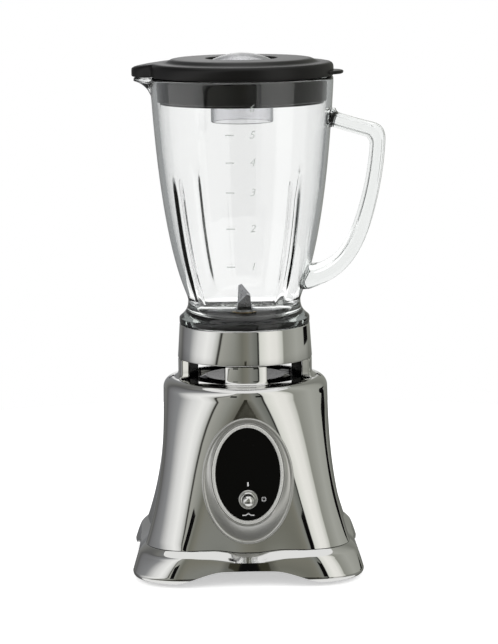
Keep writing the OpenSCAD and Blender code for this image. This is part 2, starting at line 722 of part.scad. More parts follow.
// The brushes lie in front of and behind the commutator, clear of the coils.
brush_z = low_plate_z + 11.5;
brush_w = 6;
brush_h = 7;
brush_len = 10;
holder_w = 12;
holder_in = commutator_r + 2;
holder_out = 34;
holder_foot = low_plate_z + 3 + eps;
module both_brushes() {
    for (a = [90, 270]) rotate([0, 0, a]) children();
}

module brush_holders() color(black) both_brushes() difference() {
    translate([holder_in, -holder_w / 2, holder_foot])
        cube([holder_out - holder_in, holder_w, brush_z + brush_h / 2 + 1.5 - holder_foot]);
    translate([holder_in - 1, -brush_w / 2 - slip, brush_z - brush_h / 2 - slip])
        cube([holder_out - holder_in - 1, brush_w + 2 * slip, brush_h + 2 * slip]);
}

module carbon_brushes() color(rubber) both_brushes() difference() {
    translate([commutator_r - 1, -brush_w / 2, brush_z - brush_h / 2])
        cube([brush_len + 1, brush_w, brush_h]);
    translate([0, 0, brush_z - brush_h]) cylinder(r = commutator_r + 0.1, h = 2 * brush_h);
}

// A coil spring behind each brush, as the tube that it fills.
module brush_springs() color(steel) both_brushes()
    translate([commutator_r + brush_len + eps, 0, brush_z]) rotate([0, 90, 0])
        ring(2.6, 1.8, holder_out - commutator_r - brush_len - 2 - 2 * eps);

stud_z = boss_z + 0.9;
stud_top = stud_z + stud_h;
shaft_low = low_bearing_z - 4;
module motor_shaft() color(steel) translate([0, 0, shaft_low])
    cylinder(r = shaft_r, h = stud_z + 2 - shaft_low);

winding_h = 5;
slot_count = 12;
module armature_core() color(steel) translate([0, 0, stator_z + 1]) linear_extrude(stack_h - 2) difference() {
    circle(r = armature_r);
    circle(r = shaft_r);
    for (k = [0 : slot_count - 1]) rotate([0, 0, 360 * k / slot_count])
        translate([armature_r - 6, -1.1]) square([8, 2.2]);
}

module armature_winding() color(copper) for (z = [stator_z + 1 - winding_h, stack_top - 1])
    translate([0, 0, z]) rotate_extrude() polygon([
        [shaft_r, 0.2], [armature_r - 5, 0.2], [armature_r - 2.5, 2.4], [armature_r - 2.5, winding_h - 2.4],
        [armature_r - 5, winding_h - 0.2], [shaft_r, winding_h - 0.2]]);

module commutator() color(copper) translate([0, 0, brush_z - 5]) linear_extrude(10) difference() {
    circle(r = commutator_r - 0.1);
    circle(r = shaft_r);
    for (k = [0 : 2 * slot_count - 1]) rotate([0, 0, 180 * k / slot_count])
        translate([commutator_r - 1.2, -0.25]) square([3, 0.5]);
}

blade_count = 12;
fan_drop = 9.5;
fan_hub_r = shaft_r + 5;
fan_hub_h = 8;
fan_t = 1.6;
fan_z = top_plate_z - fan_drop;
module cooling_fan() color(black) translate([0, 0, fan_z]) difference() {
    union() {
        cylinder(r = fan_r, h = fan_t);
        cylinder(r = fan_hub_r, h = fan_hub_h);
        for (k = [0 : blade_count - 1]) rotate([0, 0, 360 * k / blade_count])
            translate([fan_hub_r - 1, -0.7, 0]) cube([fan_r - fan_hub_r + 0.5, 1.4, fan_hub_h - 0.5]);
    }
    translate([0, 0, -1]) cylinder(r = shaft_r, h = fan_hub_h + 2);
}

slinger_z = deck_low - 3.2;
module shaft_slinger() color(rubber) translate([0, 0, slinger_z]) rotate_extrude() polygon([
    [shaft_r, 0], [shaft_r + 2, 0], [shaft_r + 6, 1.2], [shaft_r + 6, 2], [shaft_r, 2]]);

module drive_stud() color(steel) difference() {
    union() {
        translate([0, 0, stud_z]) cylinder(r = stud_w * 0.72, h = 2.2);
        intersection() {
            translate([-stud_w / 2, -stud_w / 2, stud_z + 1]) cube([stud_w, stud_w, stud_top - stud_z - 1]);
            translate([0, 0, stud_z]) cylinder(r = stud_w * 0.66, h = 20);
            translate([0, 0, stud_z]) cylinder(r1 = stud_w * 1.4, r2 = stud_w * 0.45,
                h = stud_top - stud_z + 0.5);
        }
    }
    translate([0, 0, stud_z - 1]) cylinder(r = shaft_r, h = 3 + eps);
}

// ---- collar, blades and their seat -------------------------------------------------------------

collar_z = post_top_z + gap;
collar_top = collar_z + collar_h;
shelf_z = collar_z + upright_rise + 2.6;
lower_bore = well_r + 0.5;
neck_out_r = lower_bore - 0.6;
neck_r = neck_out_r - neck_wall;
upper_bore = lower_bore;
holder_r = upper_bore - slip;
holder_z = shelf_z + shelf_wall;
holder_t = 3.6;
seal_h = 2.4;
neck_z = holder_z + holder_t + seal_h;

module jar_collar() color(chrome) rotate_extrude() polygon([
    [lower_bore, collar_z + 0.8], [lower_bore + 0.8, collar_z], [collar_r - 0.9, collar_z],
    [collar_r, collar_z + 0.9], [collar_top_r, collar_top - 0.7], [collar_top_r - 0.7, collar_top],
    [upper_bore, collar_top], [upper_bore, holder_z - slip], [lower_bore - 6, holder_z - slip],
    [lower_bore - 6, shelf_z], [lower_bore, shelf_z]]);

dome_r = neck_r - 0.7;
dome_round = 8.2;
dome_flat_r = dome_r - dome_round;
dome_rise_h = 17;
dome_z = holder_z + dome_rise_h;
bushing_out = 7;
hub_drop = 8;
hub_out = bushing_out + 3;
rib_w = 2.4;
rib_h = 3.6;
holder_low = holder_z - hub_drop;
module blade_holder() color(black) difference() {
    union() {
        rotate_extrude() polygon(concat(
            [[0, holder_z], [holder_r, holder_z], [holder_r, holder_z + holder_t - slip],
             [dome_r, holder_z + holder_t - slip]],
            [for (k = [0 : 5]) let (a = 18 * k)
                [dome_flat_r + dome_round * cos(a), dome_z - dome_round * (1 - sin(a))]],
            [[0, dome_z]]));
        translate([0, 0, holder_low]) cylinder(r = hub_out, h = hub_drop + 1);
        for (k = [0 : 5]) rotate([0, 0, 60 * k]) translate([hub_out - 1, -rib_w / 2, holder_z - rib_h])
            cube([dome_r - hub_out + 0.3, rib_w, rib_h + 0.4]);
    }
    translate([0, 0, holder_low - 1]) cylinder(r = bushing_out, h = 40);
}

module sealing_ring() color(rubber) translate([0, 0, holder_z + holder_t])
    ring(neck_out_r, neck_r, seal_h - slip);

bushing_z = dome_z + 1.4;
module blade_bushing() color(brass) difference() {
    union() {
        translate([0, 0, holder_low]) cylinder(r = bushing_out, h = bushing_z - holder_low);
        translate([0, 0, dome_z + eps]) cylinder(r = bushing_out + 2.5, h = bushing_z - dome_z);
    }
    translate([0, 0, holder_low - 1]) cylinder(r = blade_shaft_r + 0.1, h = 40);
}

coupling_top = holder_low - 0.8;
coupling_low = stud_z + 2.7;
socket_top = stud_top + 0.8;
spacer_z = bushing_z + gap;
lower_z = spacer_z + 2.4;
upper_z = lower_z + blade_t + 1.2;
nut_z = upper_z + blade_t;

module blade_shaft() color(steel) translate([0, 0, socket_top + 1])
    cylinder(r = blade_shaft_r, h = nut_z + 4 - socket_top - 1);

module driven_coupling() color(black) difference() {
    union() {
        translate([0, 0, coupling_low]) cylinder(r = coupling_r, h = coupling_top - coupling_low - 1.4);
        translate([0, 0, coupling_top - 2]) cylinder(r = 7, h = 2);
    }
    translate([-stud_w / 2 - gap, -stud_w / 2 - gap, coupling_low - 1])
        cube([stud_w + 2 * gap, stud_w + 2 * gap, socket_top - coupling_low + 1]);
    translate([0, 0, socket_top - 1]) cylinder(r = blade_shaft_r, h = 20);
}

module blade_spacer() color(steel) translate([0, 0, spacer_z])
    ring(7, blade_shaft_r + eps, lower_z - spacer_z - eps);

// Two swept arms bent out of one flat strip: root and tip are straight, the tip is tilted.
module blade(reach, tilt, root) {
    difference() {
        union() {
            cylinder(r = 8, h = blade_t);
            for (s = [0, 180]) rotate([0, 0, s]) {
                linear_extrude(blade_t) polygon([[0, -6], [root, -5.5], [root, 5.5], [0, 6]]);
                translate([root, 0, 0]) rotate([0, -tilt, 0]) linear_extrude(blade_t)
                    let (tip = (reach - root) / cos(tilt))
                    polygon([[-0.4, -5.5], [tip * 0.55, -5.2], [tip, 1.5], [tip - 1.2, 4.2], [-0.4, 5.5]]);
            }
        }
        translate([0, 0, -5]) cylinder(r = blade_shaft_r, h = 10);
    }
}

lower_root = 14;                      // length of a blade's flat middle, from the axis
upper_root = 12;
module lower_blade() color(steel) translate([0, 0, lower_z]) blade(lower_blade_r, -12, lower_root);

module upper_blade() color(steel) translate([0, 0, upper_z]) {
    rotate([0, 0, 90]) blade(upper_blade_r, 48, upper_root);
    translate([0, 0, -1.2 + eps]) ring(7, blade_shaft_r, 1.2);
}

module blade_nut() color(steel) translate([0, 0, nut_z + eps]) difference() {
    union() {
        cylinder(r = 6.2, h = 4.4, $fn = 6);
        intersection() {
            translate([0, 0, 3.4]) sphere(r = 5);
            cylinder(r = 6, h = 10);
        }
    }
    translate([0, 0, -1]) cylinder(r = blade_shaft_r, h = 5);
}

// ---- glass jar ---------------------------------------------------------------------------------

foot_edge_r = collar_top_r;
foot_low = collar_top + gap;
foot_top = foot_low + 5.6;
waist_r = foot_edge_r - waist_in;
waist_z = foot_top + waist_up;
rim_z = waist_z + jar_h;
spout_reach = rim_r + spout_out;
handle_reach = rim_r + handle_out;

function wall_point(t) = cubic([waist_r, waist_z], [waist_r - 1.7, waist_z + 6.7],
    [rim_r - 8.3, waist_z + 23.2], [rim_r, rim_z - 5], t);
function waist_point(t) = quad([foot_edge_r - 0.7, foot_top], [waist_r, foot_top + 4.5],
    [waist_r, waist_z], t);

// Outer radius of the wall at a height, from the nearest points of its curve.
function wall_r_at(z) = lookup(z, [for (k = [0 : wall_steps]) let (p = wall_point(wall_t(k))) [p[1], p[0]]]);

wall_steps = 22;
function wall_t(k) = pow(k / wall_steps, 1.25);
plug_r = rim_r - 4.7;
plug_seat_z = rim_z - plug_depth - 2;
jar_mouth_r = plug_r + 0.5;

module jar_outside() rotate_extrude() polygon(concat(
    [[0, neck_z], [neck_out_r, neck_z], [neck_out_r, foot_low], [foot_edge_r - 0.8, foot_low],
     [foot_edge_r, foot_low + 0.8], [foot_edge_r, foot_top - 0.7]],
    [for (k = [0 : 5]) waist_point(k / 5)],
    [for (k = [1 : wall_steps]) wall_point(wall_t(k))],
    [[rim_r, rim_z - 1.6], [rim_r - 1.6, rim_z], [0, rim_z]]));

// Steeper walls get the same thickness along the radius, so the glass is even.
function inner_r(p) = p[0] - glass_wall;
module jar_inside() rotate_extrude() polygon(concat(
    [[0, neck_z - 1], [neck_r, neck_z - 1], [neck_r, foot_top - 3]],
    [for (k = [2 : wall_steps]) let (p = wall_point(wall_t(k)))
        if (p[1] < plug_seat_z - 3) [inner_r(p), p[1]]],
    [[jar_mouth_r - 1.6, plug_seat_z - 3], [jar_mouth_r, plug_seat_z], [jar_mouth_r, rim_z + 1],
     [0, rim_z + 1]]));

// The pouring lip is a trumpet whose stem lies in the wall.
spout_r = 20;
spout_edge = 3.2;
spout_stem = [5.2, 26];
module spout_trumpet(wall) translate([spout_r - spout_reach, 0, rim_z]) rotate_extrude() polygon(concat(
    [[0, wall > 0 ? 1 : 0], [spout_r - wall, wall > 0 ? 1 : 0]],
    [for (k = [0 : 7]) quad([spout_r - wall, -spout_edge + wall / 2],
        [spout_stem[0] + 0.3 - wall / 2, -spout_edge - 3.8 + wall / 2],
        [spout_stem[0] - wall, -spout_stem[1]], k / 7)],
    [[0, -spout_stem[1]]]));

// Middle line of the handle: out from the rim, round a tight corner, and back in to the waist.
handle_x = handle_reach - handle_t / 2;
handle_top = rim_z - 32.5;
handle_low = waist_z + 18;
bar_end = [handle_x - 7, handle_top - 8.7];
grip_start = [handle_x, handle_top - 21];
grip_end = [handle_x - 11.7, handle_low + 44.8];
function handle_line(s) =
    s <= 1 ? quad([rim_r - 5, handle_top], [rim_r + 5, handle_top - 2.7], bar_end, s)
    : s <= 2 ? quad(bar_end, [handle_x + 0.9, handle_top - 10.5], grip_start, s - 1)
    : s <= 3 ? quad(grip_start, [handle_x - 2, handle_top - 50], grip_end, s - 2)
    : quad(grip_end, [grip_end[0] - 13.2, handle_low + 3.5], [waist_r + 5.5, handle_low + 2], s - 3);
handle_steps = 28;
function handle_s(k) = 4 * k / handle_steps;
function heading(k) = let (e = 0.02, a = handle_line(max(0, handle_s(k) - e)),
    b = handle_line(min(4, handle_s(k) + e)), d = b - a) d / norm(d);
// Rounded bar section, a little wider than it is thick, and thicker in the corner and at its foot.
function handle_section(k) = let (s = handle_s(k), p = handle_line(s), d = heading(k), side = [-d[1], d[0]],
    grow = 1 + 0.2 * exp(-pow((s - 1.45) / 0.3, 2)) + 0.5 * pow(s / 4, 5))
    [for (i = [0 : 15]) let (a = 22.5 * i + 11.25, r = square_r(a, 1, 3),
        u = r * cos(a) * handle_t / 2 * grow, v = r * sin(a) * handle_w / 2)
        [p[0] + side[0] * u, v, p[1] + side[1] * u]];

module handle() capped_skin([for (k = [0 : handle_steps]) handle_section(k)]);

// The flutes follow an arc that lies along the wall, and fade out into it at both ends.
flute_low = waist_z + 0.5;
flute_high = flute_low + flute_len;
flute_bend_r = 400;
flute_r = 6;
module flute(tube) {
    low = [waist_r + 0.4, flute_low];
    top = [wall_r_at(flute_high), flute_high];
    chord = norm(top - low);
    tilt = atan2(top[1] - low[1], top[0] - low[0]);
    half = asin(chord / 2 / flute_bend_r);
    middle = (low + top) / 2 - flute_bend_r * cos(half) * [sin(tilt), -cos(tilt)];
    translate([middle[0], 0, middle[1]]) rotate([90, 0, 0])
        rotate([0, 0, tilt - 90 - half]) rotate_extrude(angle = 2 * half)
            translate([flute_bend_r + flute_r - flute_depth, 0]) circle(r = tube);
}
module flutes(tube) {
    for (k = [0 : 3]) rotate([0, 0, 90 * k + 45]) flute(tube);
}

module glass_jar() color(glass, 0.5) rotate([0, 0, jar_turn]) difference() {
    union() {
        jar_outside();
        spout_trumpet(0);
        handle();
    }
    difference() {
        union() {
            jar_inside();
            spout_trumpet(glass_wall - 0.6);
        }
        flutes(flute_r + glass_wall);
    }
    flutes(flute_r);
}

// ---- lid and filler cap ------------------------------------------------------------------------

plug_wall = 3;
brim_r = rim_r + brim_over;
crown_r = brim_r - crown_in;
cover_reach = spout_reach + cover_over;
tab_reach = brim_r + tab_out;
lid_z = rim_z + gap;
brim_top = lid_z + brim_h;
crown_z = brim_top + crown_h;
cap_hole_r = cap_r + 0.4;
cap_flange_r = cap_r + 2.7;
cap_seat_z = crown_z - 5.4;

module lid_body() rotate_extrude() polygon([
    [0, lid_z + 4.5], [plug_r - plug_wall, lid_z + 4.5], [plug_r - plug_wall, rim_z - plug_depth],
    [plug_r - 2.8, rim_z - plug_depth], [plug_r - 2.8, rim_z - plug_depth + 1.6],
    [plug_r, rim_z - plug_depth + 1.8], [plug_r, lid_z], [brim_r, lid_z], [brim_r, brim_top - 2.6],
    [brim_r - 0.9, brim_top - 0.6], [brim_r - 2.6, brim_top], [crown_r + 4, brim_top + 0.2],
    [crown_r + 0.5, brim_top + 1.1], [crown_r - 2.5, crown_z - 0.5], [crown_r - 6, crown_z],
    [cap_flange_r + 1, crown_z], [0, crown_z]]);

module lid() color(black) rotate([0, 0, jar_turn]) difference() {
    union() {
        lid_body();
        // Cover over the pouring lip.
        hull() {
            translate([-(cover_reach - 20), 0, lid_z]) cylinder(r = 20 - 1.5, h = 8.2, $fn = 32);
            translate([-(cover_reach - 20), 0, lid_z + 1.5]) cylinder(r = 20, h = 5, $fn = 32);
            translate([-brim_r + 24, 0, lid_z]) cylinder(r = 24, h = brim_h - 1, $fn = 32);
        }
        // Thumb tab over the handle.
        hull() {
            translate([tab_reach - 9, 0, lid_z + 1.8]) cylinder(r = 9, h = 2.4, $fn = 32);
            translate([brim_r - 20, 0, lid_z + 0.6]) cylinder(r = 18, h = 5.4, $fn = 32);
        }
    }
    // The lid stays hollow under the crown, inside the plug.
    translate([0, 0, lid_z - 1]) cylinder(r = plug_r - plug_wall, h = 5.5);
    translate([0, 0, lid_z]) cylinder(r = cap_hole_r, h = 30);
    translate([0, 0, cap_seat_z]) cylinder(r = cap_flange_r + 0.5, h = 20);
}

cap_wall = 2;
dome_top = crown_z + dome_h;
dome_edge_z = crown_z - 3.2;
// Ball radius of the dome, from its rise over the flange.
dome_rise = dome_top - dome_edge_z;
ball = (cap_flange_r * cap_flange_r + dome_rise * dome_rise) / (2 * dome_rise);

module filler_cap() color(clear, 0.6) rotate_extrude() polygon(concat(
    [[cap_r - cap_wall, cap_seat_z - cap_depth], [cap_r - 0.1, cap_seat_z - cap_depth], [cap_r, cap_seat_z],
     [cap_r, cap_seat_z + gap / 2], [cap_flange_r, cap_seat_z + gap / 2], [cap_flange_r, dome_edge_z]],
    [for (k = [1 : 10]) let (r = cap_flange_r * (1 - k / 10))
        [r, dome_top - ball + sqrt(ball * ball - r * r)]],
    [for (k = [0 : 8]) let (r = (cap_r - cap_wall) * k / 8)
        [r, dome_top - cap_wall - ball + sqrt(ball * ball - r * r)]]));

// ---- assembly ----------------------------------------------------------------------------------

base_housing();
foot_skirt();
bottom_cover();
rubber_feet();
cover_screws();
deck();
deck_seal();
cord_grommet();
panel_surround();
panel_bezel();
control_panel();
toggle_nut();
toggle_bushing();
switch_body();
switch_terminals();
toggle_lever();
top_bracket();
bottom_bracket();
bracket_bolts();
motor_mounts();
mount_screws();
top_bearing();
bottom_bearing();
stator_core();
field_coils();
brush_holders();
carbon_brushes();
brush_springs();
motor_shaft();
armature_core();
armature_winding();
commutator();
cooling_fan();
shaft_slinger();
drive_stud();
jar_collar();
blade_holder();
sealing_ring();
blade_bushing();
blade_shaft();
driven_coupling();
blade_spacer();
lower_blade();
upper_blade();
blade_nut();
glass_jar();
lid();
filler_cap();
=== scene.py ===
"""Countertop blender: the finishes and the modelled shells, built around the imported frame.
Z is up along the drive axis and the control panel faces -Y. The camera and the studio are in
metres, the machine's own sizes in millimetres, and MM turns them into metres."""
import math

import bmesh
import bpy
from mathutils import Matrix, Vector


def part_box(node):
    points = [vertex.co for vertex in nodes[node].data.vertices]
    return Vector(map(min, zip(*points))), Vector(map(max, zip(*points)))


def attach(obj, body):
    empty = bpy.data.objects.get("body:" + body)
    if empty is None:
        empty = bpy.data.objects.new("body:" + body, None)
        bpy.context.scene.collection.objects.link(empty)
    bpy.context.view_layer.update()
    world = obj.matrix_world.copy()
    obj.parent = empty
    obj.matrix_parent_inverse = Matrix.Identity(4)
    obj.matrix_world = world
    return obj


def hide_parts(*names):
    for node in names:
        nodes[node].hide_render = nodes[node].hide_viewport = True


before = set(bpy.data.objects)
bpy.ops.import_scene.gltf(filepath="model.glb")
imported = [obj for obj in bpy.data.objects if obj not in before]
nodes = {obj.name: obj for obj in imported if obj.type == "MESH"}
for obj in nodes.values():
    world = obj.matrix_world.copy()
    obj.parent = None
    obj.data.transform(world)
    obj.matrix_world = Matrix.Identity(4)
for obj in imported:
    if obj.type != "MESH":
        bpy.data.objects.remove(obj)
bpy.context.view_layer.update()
MM = 0.001


# ---- Camera ------------------------------------------------------------------------------------
# A long lens, a little higher than the lid and pitched down at the machine. Its small turns stand
# for a machine that isn't quite square to it.
camera_reach = 2.170
camera_height = 0.5315
camera_azimuth = math.radians(-0.9)
camera_pitch = math.radians(8.9)
camera_yaw = math.radians(0.092)
camera_roll = math.radians(0.67)

camera = bpy.data.objects.new("camera", bpy.data.cameras.new("camera"))
bpy.context.scene.collection.objects.link(camera)
camera.data.lens = 156.5
camera.data.sensor_fit = "VERTICAL"
camera.data.sensor_height = 36
camera.location = (camera_reach * math.sin(camera_azimuth),
                   -camera_reach * math.cos(camera_azimuth), camera_height)
camera.matrix_world = (Matrix.Translation(camera.location)
                       @ Matrix.Rotation(camera_azimuth - camera_yaw, 4, "Z")
                       @ Matrix.Rotation(math.radians(90) - camera_pitch, 4, "X")
                       @ Matrix.Rotation(-camera_roll, 4, "Z"))
bpy.context.scene.camera = camera
bpy.context.scene.view_settings.view_transform = "Standard"


# ---- Studio ------------------------------------------------------------------------------------
# A white room. A round wall of grey panels and soft boxes stands in it for the chrome to mirror,
# and flags round the machine darken the edges of the glass. The camera sees neither directly.
def linear(hex_colour):
    """An sRGB hex colour as linear red, green, blue and alpha."""
    channels = [int(hex_colour[i:i + 2], 16) / 255 for i in (1, 3, 5)]
    return [c / 12.92 if c <= 0.04045 else ((c + 0.055) / 1.055) ** 2.4 for c in channels] + [1]


def add(tree, kind, sockets=None, **settings):
    """Adds a node: sockets maps an input to its value or to another node's output."""
    node = tree.nodes.new(kind)
    for key, value in settings.items():
        setattr(node, key, value)
    for key, value in (sockets or {}).items():
        if isinstance(value, bpy.types.NodeSocket):
            tree.links.new(value, node.inputs[key])
        else:
            node.inputs[key].default_value = value
    return node


def new_material(name):
    """A bare material and its node tree."""
    material = bpy.data.materials.new(name)
    material.use_nodes = True
    material.node_tree.nodes.clear()
    return material, material.node_tree


def mesh_object(name, vertices, faces):
    """A mesh object in the scene, with its vertices in metres."""
    mesh = bpy.data.meshes.new(name)
    mesh.from_pydata(vertices, [], faces)
    mesh.update()
    obj = bpy.data.objects.new(name, mesh)
    bpy.context.scene.collection.objects.link(obj)
    return obj


def arc_card(name, start, end, low, high, seen_by=("glossy",), reach=1.6):
    """A card bent round the table from one bearing to another, 0 being the camera's side. Only
    the named kinds of ray see it. Returns its node tree."""
    steps = max(2, int((end - start) / 4))
    vertices = []
    for i in range(steps + 1):
        bearing = math.radians(start + (end - start) * i / steps)
        x, y = reach * math.sin(bearing), -reach * math.cos(bearing)
        vertices += [(x, y, low), (x, y, high)]
    faces = [(2 * i, 2 * i + 2, 2 * i + 3, 2 * i + 1) for i in range(steps)]
    card = mesh_object(name, vertices, faces)
    for kind in ("camera", "diffuse", "glossy", "transmission", "shadow"):
        setattr(card, "visible_" + kind, kind in seen_by)
    material, tree = new_material(name + "_card")
    card.data.materials.append(material)
    return tree


def plain_glow(tree, colour, strength=1.0):
    """Makes a card glow evenly."""
    glow = add(tree, "ShaderNodeEmission", {"Color": colour, "Strength": strength})
    add(tree, "ShaderNodeOutputMaterial", {"Surface": glow.outputs[0]})


world = bpy.data.worlds.new("white_room")
bpy.context.scene.world = world
world.use_nodes = True
world.node_tree.nodes.clear()
room = add(world.node_tree, "ShaderNodeBackground", {"Color": linear("#ffffff")})
add(world.node_tree, "ShaderNodeOutputWorld", {"Surface": room.outputs[0]})

# Tones of the wall as the chrome shows them, by bearing in degrees: two soft boxes with dark
# edges at the sides of the front, grey panels between them and behind. The glow makes up for
# what chrome swallows, so that it shows the tones as they are written.
wall_tones = [
    (-180, "#f0f0f0"), (-175, "#d8d8d8"), (-170, "#78797b"), (-148, "#6e6e6c"),
    (-137, "#585858"), (-129, "#6c6c6e"), (-108, "#838486"), (-97, "#b8b8b8"),
    (-88, "#d2d2d2"), (-69, "#e6e6e5"), (-57, "#d6d6d5"), (-48, "#a9aaa6"), (-46, "#302f2c"),
    (-43, "#302f2c"), (-42, "#9b9b95"), (-20, "#868781"), (-6, "#6a6a62"), (2, "#74736a"),
    (9, "#7b7c77"), (20, "#676964"), (21, "#242422"), (23, "#242422"), (24, "#cecfc9"),
    (40, "#e3e2de"), (55, "#dddcd8"), (67, "#babbb5"), (68, "#85867f"), (98, "#9d9e98"),
    (127, "#91928c"), (142, "#74756f"), (170, "#7e7f79"), (176, "#d8d8d8")]
chrome_reflectance = 0.716
wall_low = -1.2
wall_high = 2.6
tree = arc_card("studio_wall", -180, 180, wall_low, wall_high)
place = add(tree, "ShaderNodeSeparateXYZ", {
    0: add(tree, "ShaderNodeTexCoord").outputs["Object"]}).outputs
toward_camera = add(tree, "ShaderNodeMath", {0: place[1], 1: -1.0}, operation="MULTIPLY")
bearing = add(tree, "ShaderNodeMath", {0: place[0], 1: toward_camera.outputs[0]},
              operation="ARCTAN2")
# The left soft box leans: its tones move toward the front as the wall goes up.
lean = math.radians(28)
lean_near = add(tree, "ShaderNodeMapRange", {
    "Value": bearing.outputs[0], "From Min": math.radians(-5), "From Max": math.radians(-30),
    "To Max": -lean}, interpolation_type="SMOOTHSTEP")
lean_far = add(tree, "ShaderNodeMapRange", {
    "Value": bearing.outputs[0], "From Min": math.radians(-150), "From Max": math.radians(-95)},
    interpolation_type="SMOOTHSTEP")
lean_share = add(tree, "ShaderNodeMath", {0: lean_near.outputs[0], 1: lean_far.outputs[0]},
                 operation="MULTIPLY")
lean_foot = 0.13
over_foot = add(tree, "ShaderNodeMath", {0: place[2], 1: lean_foot}, operation="SUBTRACT")
leant = add(tree, "ShaderNodeMath", {
    0: lean_share.outputs[0], 1: over_foot.outputs[0], 2: bearing.outputs[0]},
    operation="MULTIPLY_ADD")
share = add(tree, "ShaderNodeMapRange", {
    "Value": leant.outputs[0], "From Min": -math.pi, "From Max": math.pi})
ramp = add(tree, "ShaderNodeValToRGB", {"Fac": share.outputs[0]})
stops = ramp.color_ramp.elements
stops.remove(stops[1])
stops[0].color = linear(wall_tones[0][1])
for degrees, tone in wall_tones[1:]:
    stops.new((degrees + 180) / 360).color = linear(tone)
# Below the table's edge the room is darker.
depth = add(tree, "ShaderNodeMapRange", {
    "Value": place[2], "From Min": -0.16, "From Max": 0.0, "To Min": 0.6 / chrome_reflectance,
    "To Max": 1 / chrome_reflectance}, interpolation_type="SMOOTHSTEP")
plain_glow(tree, ramp.outputs["Color"], depth.outputs[0])

# Dark cards: two that show low on the body beside the panel, one at the right rear, one behind
# that the deck mirrors, and three low in front for the post, the middle of the skirt and the lid.
card_reach = 1.55
for name, start, end, low, high, tone in (
        ("dark_left", -22, -13, 0.46, 0.9, "#0c0c0c"),
        ("dark_right", 13, 22, 0.46, 0.9, "#0c0c0c"),
        ("dark_rear", 122, 139, 0.0, 0.13, "#0c0c0c"),
        ("dark_behind", 166, 194, 0.375, 0.43, "#0c0c0c"),
        ("dark_post", -2, 1.5, -0.14, -0.02, "#35342c"),
        ("dark_front", -7, 7, -0.3, -0.16, "#3c3b30"),
        ("dark_low", -34, 34, -0.7, -0.3, "#101010")):
    plain_glow(arc_card(name, start, end, low, high, reach=card_reach), linear(tone))
# Flags that only light mirrored inside the glass meets: they give the jar its grey edges, the
# handle its lines and the lid's plug its bands, and can't be seen straight through the glass.
flag_high = 1.2
for start, end, tone in ((-180, -110, "#a6a8a9"), (-52, 18, "#161616"), (70, 125, "#7a7b7c"),
                         (125, 180, "#a6a8a9")):
    tree = arc_card("mirrored_flag", start, end, wall_low, flag_high, ("transmission",))
    glow = add(tree, "ShaderNodeEmission", {"Color": linear(tone)})
    mirrored = add(tree, "ShaderNodeMath", {
        0: add(tree, "ShaderNodeLightPath").outputs["Glossy Depth"], 1: 0.5},
        operation="GREATER_THAN")
    shown = add(tree, "ShaderNodeMixShader", {
        "Fac": mirrored.outputs[0], 1: add(tree, "ShaderNodeBsdfTransparent").outputs[0],
        2: glow.outputs[0]})
    add(tree, "ShaderNodeOutputMaterial", {"Surface": shown.outputs[0]})

# The pale floor, which the chrome doesn't mirror. Its glow shows only to the camera and through
# the glass.
floor_reach = 0.7
floor_steps = 96
floor = mesh_object("floor", [
    (floor_reach * math.cos(math.tau * i / floor_steps),
     floor_reach * math.sin(math.tau * i / floor_steps), 0) for i in range(floor_steps)],
    [tuple(range(floor_steps))])
floor.visible_glossy = False
material, tree = new_material("pale_floor")
path = add(tree, "ShaderNodeLightPath")
pale = add(tree, "ShaderNodeBsdfDiffuse", {"Color": linear("#f2f2f2")})
lift = add(tree, "ShaderNodeEmission", {"Color": linear("#ffffff"), "Strength": 0.5})
lifted = add(tree, "ShaderNodeAddShader", {0: pale.outputs[0], 1: lift.outputs[0]})
looked_at = add(tree, "ShaderNodeMath", {
    0: path.outputs["Is Camera Ray"], 1: path.outputs["Is Transmission Ray"]},
    operation="MAXIMUM")
shown = add(tree, "ShaderNodeMixShader", {
    "Fac": looked_at.outputs[0], 1: pale.outputs[0], 2: lifted.outputs[0]})
add(tree, "ShaderNodeOutputMaterial", {"Surface": shown.outputs[0]})
floor.data.materials.append(material)


# ---- Finishes ----------------------------------------------------------------------------------
# What the materials share: noise that is fixed to the piece at a real size, a range of values or a
# relief made from it, and the surface that closes a material.
def noise(tree, size, detail=2.0):
    """Uneven values with features of about a size in millimetres."""
    return add(tree, "ShaderNodeTexNoise", {
        "Vector": add(tree, "ShaderNodeTexCoord").outputs["Object"], "Scale": 1 / (size * MM),
        "Detail": detail}).outputs["Fac"]


def spread(tree, values, low, high, start=0.0, end=1.0):
    """Maps values from start to end onto low to high."""
    return add(tree, "ShaderNodeMapRange", {
        "Value": values, "From Min": start, "From Max": end, "To Min": low,
        "To Max": high}).outputs[0]


def relief_of(tree, values, strength, distance):
    """A bumped normal, its distance in millimetres."""
    return add(tree, "ShaderNodeBump", {
        "Height": values, "Strength": strength, "Distance": distance * MM}).outputs[0]


def surface(tree, sockets):
    """Closes a material with one surface, and returns its output node."""
    coat = add(tree, "ShaderNodeBsdfPrincipled", sockets)
    return add(tree, "ShaderNodeOutputMaterial", {"Surface": coat.outputs[0]})


# ---- Base housing ------------------------------------------------------------------------------
# The upper casting of the base: a zinc die casting with a round shoulder that flares into a rounded
# square, and four posts that carry the collar; the panel's oval opening is not cut. Polished and
# chromed.
body_top_r = 64.4
body_foot_half = 80.5
body_flare = 2.4
body_corner_r = 37.7
body_dish = 4.6
shoulder_round = 8.5
shoulder_plate = 3.0
cast_wall = 2.8
well_r = 45.5
post_r = 52.5
post_angle = 36.0
post_fillet = 4.5
housing_low, housing_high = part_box("base_housing")
seam_dip = 2.6
dip_half = 24.0
seam_gap = 0.3
seam_z = housing_low.z / MM - seam_gap + seam_dip
post_top_z = housing_high.z / MM
shoulder_z = post_top_z - 14.6
shoulder_start = shoulder_z - shoulder_round
ring_points = 256


def smooth(t):
    """An even step from 0 to 1."""
    t = min(1.0, max(0.0, t))
    return t * t * (3 - 2 * t)


